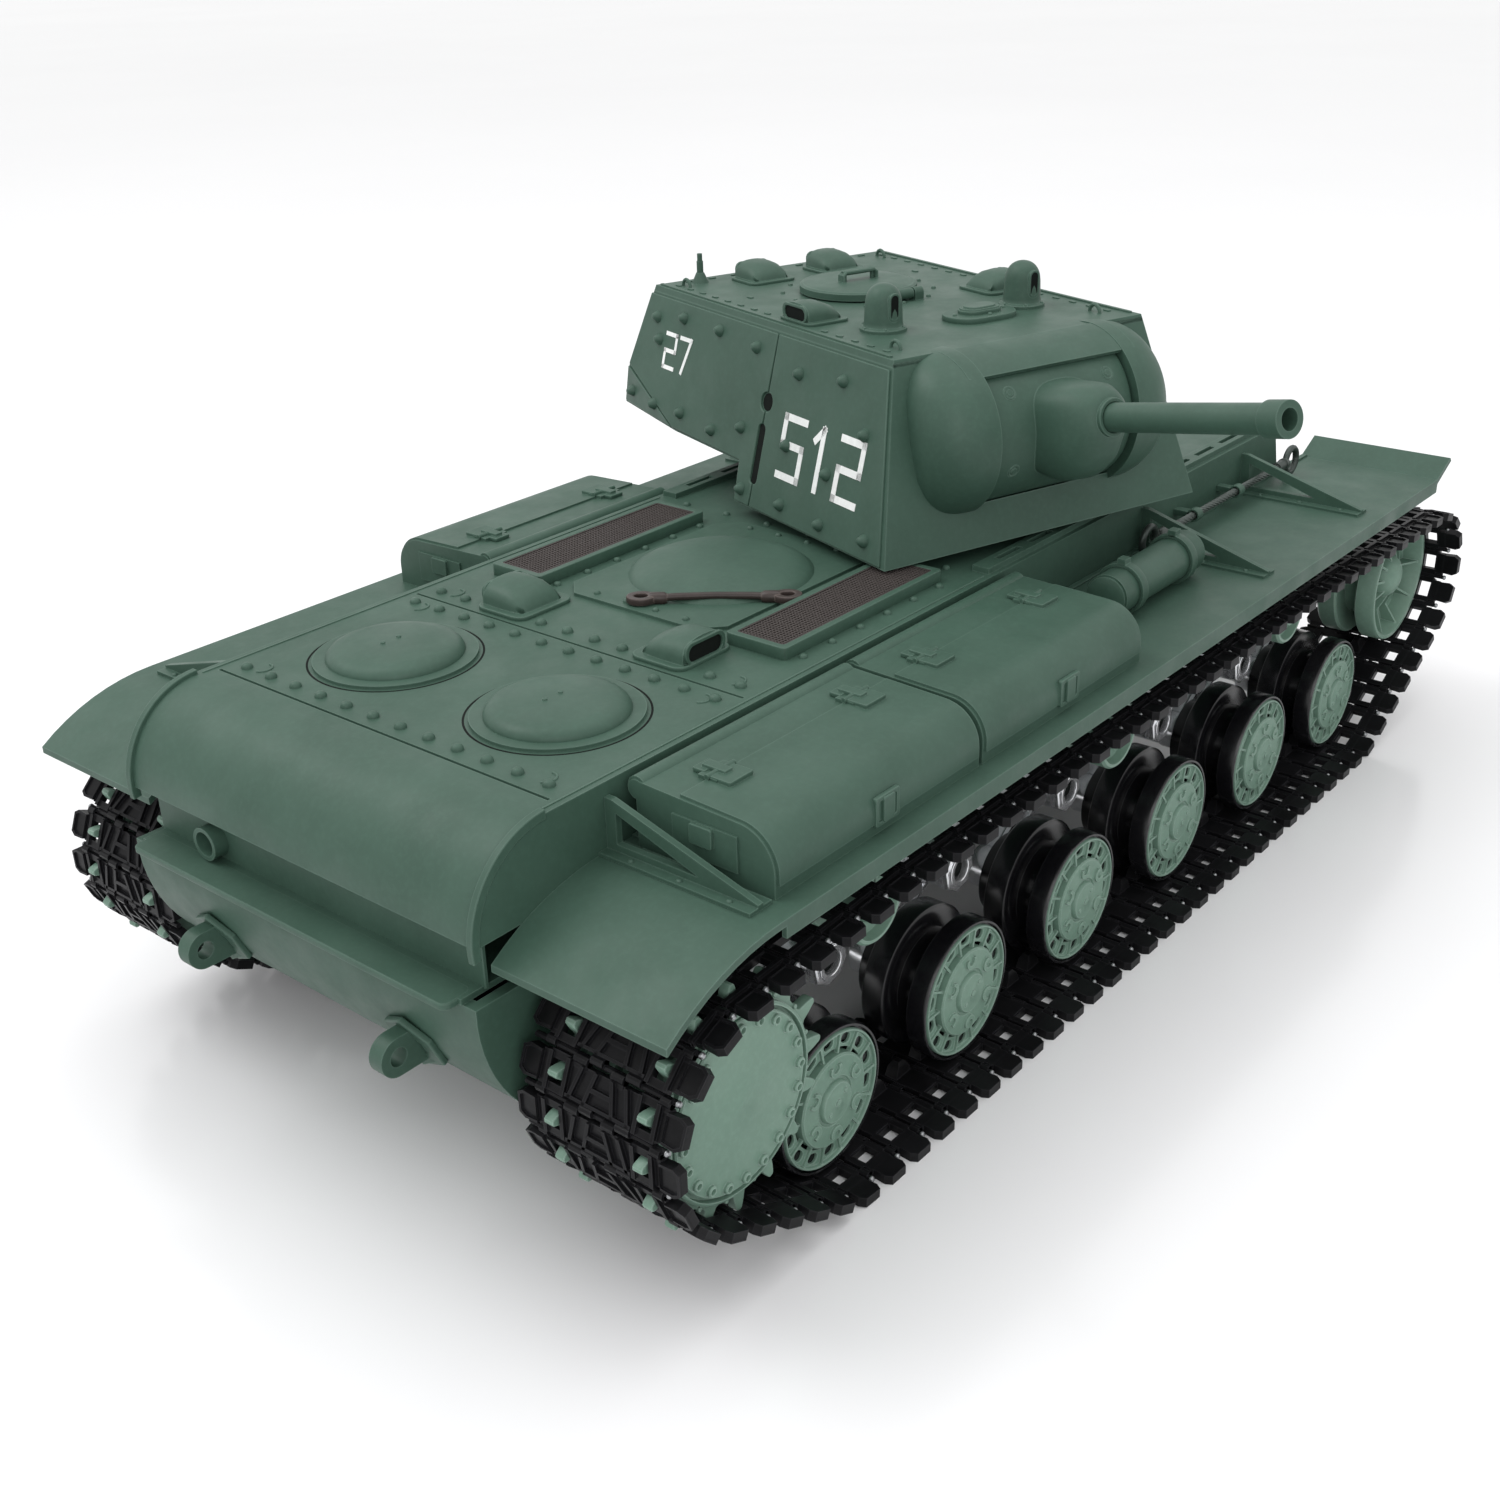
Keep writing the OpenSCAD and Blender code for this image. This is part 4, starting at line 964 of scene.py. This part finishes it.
def wall_point(x, z, s, lift):
    f = wall_frame(x, z, s)
    return f.translation + f.col[2].to_3d() * lift


def cone_bolt(shape, at):
    shape.lathe([(1.9, -0.4), (1.75, 0.5), (0.9, 1.9), (0.55, 2.1)], at, n=16)


def port_edge(side):
    """The notched edge of a wall panel along the seam, from the foot up; side is 1 for the front panel."""
    x = SEAM + 0.3 * side
    points = [(x, FOOT + 0.4), (x, SLIT[0])]
    points += [(x + side * SLIT_R * math.sin(a), SLIT[0] + SLIT_R - SLIT_R * math.cos(a))
               for a in (math.radians(15 * k) for k in range(1, 7))]
    points += [(x + side * SLIT_R * math.cos(a), SLIT[1] - SLIT_R + SLIT_R * math.sin(a))
               for a in (math.radians(15 * k) for k in range(7))]
    points += [(x, SLIT[1] + 2.4)]
    points += [(x + side * PORT_R * math.sin(a), PORT_Z - PORT_R * math.cos(a))
               for a in (math.radians(15 * k) for k in range(13))]
    points += [(x, ROOF - 2.4)]
    return points


def kink_z(x):
    """Where the rear wall's sloped face meets its upright face."""
    return FOOT - 4 - (x + 13) * (BASE_HW - TAIL_HW) / 75 * (ROOF - FOOT + 4) / (BASE_HW - ROOF_HW)


def wall_loop(shape, points, s, lift, inner_lift=-0.4):
    inner = [wall_point(x, z, s, inner_lift) for x, z in points]
    outer = [wall_point(x, z, s, lift) for x, z in points]
    order = 1 if s < 0 else -1
    shape.rings([inner[::order], outer[::order]])


STROKES = {"2": ((0, 10, 6, 10), (6, 10, 6, 5), (6, 5, 0, 5), (0, 5, 0, 0), (0, 0, 6, 0)),
           "7": ((0, 10, 6, 10), (6, 10, 2.6, 0)), "1": ((3, 10, 3, 0), (3, 10, 1, 8)),
           "5": ((6, 10, 0, 10), (0, 10, 0, 5.4), (0, 5.4, 6, 5.4), (6, 5.4, 6, 0), (6, 0, 0, 0))}


def on_turret(name, shape, material, body="turret", bevel=0.0):
    """A piece drawn in the turret's own frame, where X points to the gun."""
    return piece(name, Shape().merge(shape, TURRET), material, body, bevel)


def build_turret():
    panels, bolts, dark, marks = Shape(), Shape(), Shape(), Shape()
    for s in (-1, 1):
        front = [(SEAM + 0.3, FOOT + 0.4), (57.0, FOOT + 0.4), (45.4, ROOF - 2.4)]
        wall_loop(panels, front + port_edge(1)[1:][::-1], s, 0.6)
        kink = kink_z(-82.0)
        rear = [(-75.0, ROOF - 2.4), (-82.0, kink + 0.3), (-52.0, BUSTLE + 1.4), (-13.4, BUSTLE + 0.5),
                (-12.6, FOOT + 0.4)]
        wall_loop(panels, rear + port_edge(-1), s, 0.6)
        wall_loop(panels, [(-82.6, kink - 0.5), (-86.2, BUSTLE + 2.0), (-53.0, BUSTLE + 1.2)], s, 0.6)
        for x, z in WALL_BOLTS:
            cone_bolt(bolts, wall_frame(x, z, s) @ move(0, 0, 0.5))
        wall_loop(dark, circle(2.3, SEAM, PORT_Z, n=20), s, 0.06)
        slit = [(SEAM - SLIT_R, SLIT[0]), (SEAM + SLIT_R, SLIT[0]), (SEAM + SLIT_R, SLIT[1]),
                (SEAM - SLIT_R, SLIT[1])]
        wall_loop(dark, slit, s, 0.06)
        # a generic fleet number, small at the back and large in front
        for digits, x, z, size in NUMBERS:
            span = len(digits) * DIGIT_STEP * size - DIGIT_GAP * size
            for n, digit in enumerate(digits):
                first = x + n * DIGIT_STEP * size
                for x0, z0, x1, z1 in STROKES[digit]:
                    ends = [Vector((u * size, v * size)) for u, v in ((x0, z0), (x1, z1))]
                    if s > 0:
                        a, b = [Vector((2 * x + span - first - e.x, e.y)) for e in ends]
                    else:
                        a, b = [Vector((first + e.x, e.y)) for e in ends]
                    along = (b - a).normalized() * STROKE_HALF * size
                    side = Vector((-along.y, along.x))
                    corners = [a - along - side, b + along - side, b + along + side, a - along + side]
                    wall_loop(marks, [(c.x, c.y + z) for c in corners], s, 0.72, 0.3)
    on_turret("turret_wall_plates", panels, "hull_paint", bevel=0.25)
    on_turret("turret_wall_bolts", bolts, "hull_paint")
    on_turret("turret_port_recesses", dark, "shadow")
    on_turret("turret_number", marks, "marking_white")

    # roof: edge strip, oval rivets, cowls, domes, sight, antenna
    strips = Shape()
    for s in (-1, 1):
        strips.prism([(-72.8, s * 41.2), (-72.8, s * 40.2), (43, s * 40.2), (43, s * 41.2)][::s], ROOF - 0.1,
                     ROOF + 0.45)
        for k in range(16):
            x = -68 + 7 * k
            if abs(x + 5) > 9:
                strips.plate([oval(x, s * 37.6, 2.6, 1.3, 0, 6)], ROOF - 0.1, ROOF + 0.35, 0.12)
    for k in range(9):
        strips.plate([oval(-71.0, -32 + 8 * k, 2.6, 1.3, math.pi / 2, 6)], ROOF - 0.1, ROOF + 0.35, 0.12)
    for x, y in ((-40, -30), (-40, 30), (-50, 0)):
        strips.plate([oval(x, y, 2.6, 1.3, 0, 6)], ROOF - 0.1, ROOF + 0.35, 0.12)
    for a in range(0, 360, 30):
        x = HATCH_X + HATCH_RIVETS_R * math.cos(math.radians(a))
        y = HATCH_RIVETS_R * math.sin(math.radians(a))
        strips.lathe([(0.75, -0.1), (0.7, 0.3), (0.4, 0.6)], move(x, y, ROOF), n=10)
    on_turret("turret_roof_rivets", strips, "hull_paint")

    cowls, mouths = Shape(), Shape()
    for x, y, turn in ((-60, -13, 180), (-60, 13, 180), (-5, -32, -90), (-5, 32, 90)):
        at = move(x, y, ROOF) @ turn_by(turn, "Z")
        roof_cowl(cowls, mouths, at)
    obj = on_turret("roof_scoops", cowls, "hull_paint", bevel=0.15)
    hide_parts("roof_cowls")
    on_turret("roof_scoop_mouths", mouths, "shadow")

    domes, slots = Shape(), Shape()
    for s in (-1, 1):
        at = move(17, s * 24, ROOF)
        profile = [(6.4, -0.1), (6.4, 0.8), (6.0, 1.2), (5.5, 1.3), (5.3, 1.7), (5.2, 2.4), (5.0, 7.0)]
        profile += [(4.9 * math.cos(a) ** 0.9, 7.4 + 5 * math.sin(a))
                    for a in (math.radians(8.9 * k) for k in range(1, 11))]
        domes.lathe(profile, at, n=48)
        face = at @ FACE_X
        rim = [oval(0, 6.6, 7.6, 3.6, math.pi / 2), oval(0, 6.6, 6.4, 2.4, math.pi / 2)[::-1]]
        domes.plate(rim, 4.2, 5.15, 0.15, face)
        slots.plate([oval(0, 6.6, 6.6, 2.6, math.pi / 2)], 4.2, 5.03, 0.0, face)
        for k in range(6):
            a = math.radians(30 + 60 * k)
            spot = at @ move(5.85 * math.cos(a), 5.85 * math.sin(a), 0)
            domes.lathe([(0.5, 0.6), (0.5, 1.3), (0.3, 1.5)], spot, n=8)
    obj = on_turret("periscope_domes", domes, "hull_paint")
    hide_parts("periscopes")
    on_turret("periscope_slots", slots, "shadow")

    sight = Shape()
    sight.plate([oval(21, 5.5, 22.0, 13.6, math.pi / 2, 14)], ROOF - 0.1, ROOF + 1.5, 0.3)
    for k, grow in enumerate((1.0, 0.93, 0.75)):
        step = oval(21, 5.5, 13.0 * grow, 7.4 * grow, math.pi / 2, 14)
        sight.plate([step], ROOF + 1.4, ROOF + 2.5 + 0.45 * k, 0.2)
    for x, y in ((21, -3.0), (21, 14.0), (16.4, 5.5), (25.6, 5.5)):
        sight.lathe([(0.6, 1.4), (0.6, 1.8), (0.35, 2.0)], move(x, y, ROOF), n=10)
    sight.tube([(-68, -30, ROOF + 3), (-68, -30, ROOF + 8.6)], 0.8, 12)
    for x, y in ((-66, 36), (-66, -36), (36, -34), (36, 34)):
        sight.tube([(u, y, z) for u, z in circle(2.0, x, ROOF, n=12, sweep=180)], 0.5, 8)
    on_turret("roof_sight_and_hooks", sight, "hull_paint")

    hatch = Shape()
    top = ROOF + 0.4 + 2.3
    at = move(HATCH_X, 0, top)
    hatch.lathe([(16.2, -2.2), (17.2, -2.2), (17.2, -0.4), (16.7, 0.05), (16.2, 0.1)], at, n=72, loop=True)
    hatch.lathe([(16.4, -1.2), (16.4, 0.0), (15.0, 0.35), (9.0, 0.6), (1.0, 0.7)], at, n=64)
    strap = [(0, -5.9, -0.5), (0, -5.8, 2.4), (0, -5.0, 3.1), (0, 5.0, 3.1), (0, 5.8, 2.4), (0, 5.9, -0.5)]
    for dx in (-0.9, 0, 0.9):
        hatch.tube([(p[0] + dx, p[1], p[2]) for p in strap], 0.62, 8, at)
    for s in (-1, 1):
        hatch.lathe([(1.9, -0.4), (1.8, 0.1), (1.0, 0.5)], at @ move(0, s * 5.9, 0), n=16)
        hatch.plate([rounded((8.5, s * 3.2 - 1.0), (17.0, s * 3.2 + 1.0), 0.5)], -1.6, -0.5, 0.2, at)
    on_turret("hatch_handle", hatch, "hull_paint", "hatch")


def roof_cowl(cowls, mouths, at):
    """A rounded scoop on a flared foot, open towards +X of its frame."""
    rings = []
    for x, w, h in ((-6.2, 5.2, 0.5), (-5.6, 5.8, 2.2), (-4.0, 6.2, 4.0), (-1.0, 6.4, 5.2), (2.5, 6.4, 5.5),
                    (5.4, 6.3, 5.4)):
        arc = [(x, -w, -0.1)]
        for a in (math.pi * k / 14 for k in range(1, 14)):
            arc.append((x, -w * math.copysign(abs(math.cos(a)) ** 0.8, math.cos(a)), h * math.sin(a) ** 0.55))
        rings.append(arc + [(x, w, -0.1)])
    cowls.rings(rings, at)
    cowls.plate([rounded((-7.6, -8.0), (6.4, 8.0), 2.6)], -0.1, 0.85, 0.25, at)
    lip = [rounded((-5.9, 0.5), (5.9, 5.0), 2.0), rounded((-4.9, 0.9), (4.9, 4.2), 1.5)[::-1]]
    cowls.plate(lip, 5.2, 6.0, 0.2, at @ FACE_X)
    mouths.plate([rounded((-5.0, 0.8), (5.0, 4.3), 1.5)], 5.3, 5.55, 0.0, at @ FACE_X)


# ---------------------------------------------------------------- gun
CHEEK_R, CHEEK_H = 21.9, 17.6
MASK_R, MASK_HW = 20.0, 23.0
HOUSING = ((14.0, 12.4, 11.0, 14.2), (17.4, 11.2, 9.8, 15.6), (20.6, 10.6, 9.2, 16.4),
           (26.0, 10.0, 8.8, 15.6), (30.0, 9.3, 8.4, 12.9), (33.0, 8.0, 7.7, 9.6),
           (35.2, 6.6, 6.6, 6.9), (36.3, 5.2, 5.2, 5.3), (36.6, 4.3, 4.3, 4.3))


def build_gun():
    mask = Shape()
    r, hw = MASK_R, MASK_HW
    rings = []
    for y, scale in ((-hw, 0.955), (-hw + 0.35, 0.985), (-hw + 1.0, 1.0), (hw - 1.0, 1.0), (hw - 0.35, 0.985),
                     (hw, 0.955)):
        arc = [(r * scale * math.cos(a), y, r * scale * math.sin(a))
               for a in (math.radians(90 - 6 * k) for k in range(31))]
        rings.append(arc)
    mask.rings(rings)
    rings = []
    for x, w, up, down in HOUSING:
        ring = []
        for a in (math.radians(10 * k) for k in range(36)):
            c, s = math.cos(a), math.sin(a)
            p = 0.72 if x < 33 else 0.9
            z = (up if s > 0 else down) * math.copysign(abs(s) ** p, s)
            ring.append((x, w * math.copysign(abs(c) ** p, c), z))
        rings.append(ring)
    mask.rings(rings)
    for y, a in ((-16.5, 26), (16.5, 26), (-16.5, -34), (16.5, -34)):
        at = move(0, y, 0) @ turn_by(90 - a, "Y") @ move(0, 0, r)
        plug = [(1.9, -0.3), (1.8, 0.12), (1.5, 0.16), (1.3, 0.02), (1.1, 0.02), (0.9, 0.3), (0.3, 0.34)]
        mask.lathe(plug, at, n=16)
    mask.plate(washer(4.9, 3.85, 40, 40), 36.2, 37.6, 0.25, FACE_X)
    cheeks = Shape()
    for s in (-1, 1):
        dome = [(CHEEK_R, 0)] + [(CHEEK_R * max(0.0, 1 - (k / 16) ** 3) ** (1 / 3), CHEEK_H * k / 16)
                                 for k in range(1, 16)] + [(2.0, CHEEK_H)]
        outwards = turn_by(-90 * s, "X")
        cheeks.lathe(dome, TURRET @ move(gun_at.x, s * (hw + 0.35), gun_at.z) @ outwards, n=72)
    piece("mantlet_cheeks", cheeks, "hull_paint", "turret")
    obj = piece("gun_mantlet", Shape().merge(mask, GUN), "hull_paint", "gun")
    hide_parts("gun_mask")


# ---------------------------------------------------------------- floor, light and camera
FLOOR_HALF = 12
LAMPS = (("key", (-0.5, 0.7, 1.3), 0.9, 9.0), ("fill", (-1.2, -1.1, 0.8), 1.2, 6.0),
         ("top", (0.3, -0.2, 1.6), 1.0, 5.0))
LAMP_TARGET = (0, 0, 0.06)
EYE_AT = (-0.38996, -0.28548, 0.26622)
EYE_AHEAD = (0.68532, 0.57978, -0.44066)
EYE_ROLL = -1.615
EYE_LENS, EYE_SENSOR = 42.44, 36


def build_stage():
    mesh = bpy.data.meshes.new("floor")
    corners = [(x * FLOOR_HALF, y * FLOOR_HALF, 0) for x, y in ((-1, -1), (1, -1), (1, 1), (-1, 1))]
    mesh.from_pydata(corners, [], [(0, 1, 2, 3)])
    floor = bpy.data.objects.new("floor", mesh)
    bpy.context.scene.collection.objects.link(floor)
    mat, nodes, links, shader = new_material("floor")
    coords = nodes.new("ShaderNodeTexCoord").outputs["Object"]
    tone = remap(nodes, links, noise(nodes, links, coords, 1.5), 0.3, 0.7, 0.0, 1.0)
    links.new(mix(nodes, links, tone, (0.80, 0.80, 0.81), (0.83, 0.83, 0.84)), shader.inputs["Base Color"])
    shader.inputs["Roughness"].default_value = 0.16
    mesh.materials.append(mat)

    world = bpy.data.worlds.new("studio")
    bpy.context.scene.world = world
    world.use_nodes = True
    world.node_tree.nodes["Background"].inputs["Color"].default_value = (1.0, 1.0, 1.0, 1.0)
    world.node_tree.nodes["Background"].inputs["Strength"].default_value = 1.0
    for name, place_at, size, power in LAMPS:
        light = bpy.data.lights.new(name, "AREA")
        light.size = size
        light.energy = power
        lamp = bpy.data.objects.new(name, light)
        lamp.location = place_at
        aim = Vector(LAMP_TARGET) - Vector(place_at)
        lamp.rotation_euler = aim.to_track_quat("-Z", "Y").to_euler()
        bpy.context.scene.collection.objects.link(lamp)

    camera = bpy.data.cameras.new("photo")
    camera.lens = EYE_LENS
    camera.sensor_width = EYE_SENSOR
    eye = bpy.data.objects.new("photo", camera)
    aim = Vector(EYE_AHEAD).to_track_quat("-Z", "Y").to_matrix().to_4x4()
    roll = turn_by(EYE_ROLL, "Z")
    eye.matrix_world = Matrix.Translation(Vector(EYE_AT)) @ aim @ roll
    camera.clip_start = 0.01
    bpy.context.scene.collection.objects.link(eye)
    bpy.context.scene.camera = eye
    bpy.context.scene.view_settings.view_transform = "Standard"


dress_cad()
build_tracks()
build_running_gear()
build_deck()
build_side_gear()
build_turret()
build_gun()
build_stage()
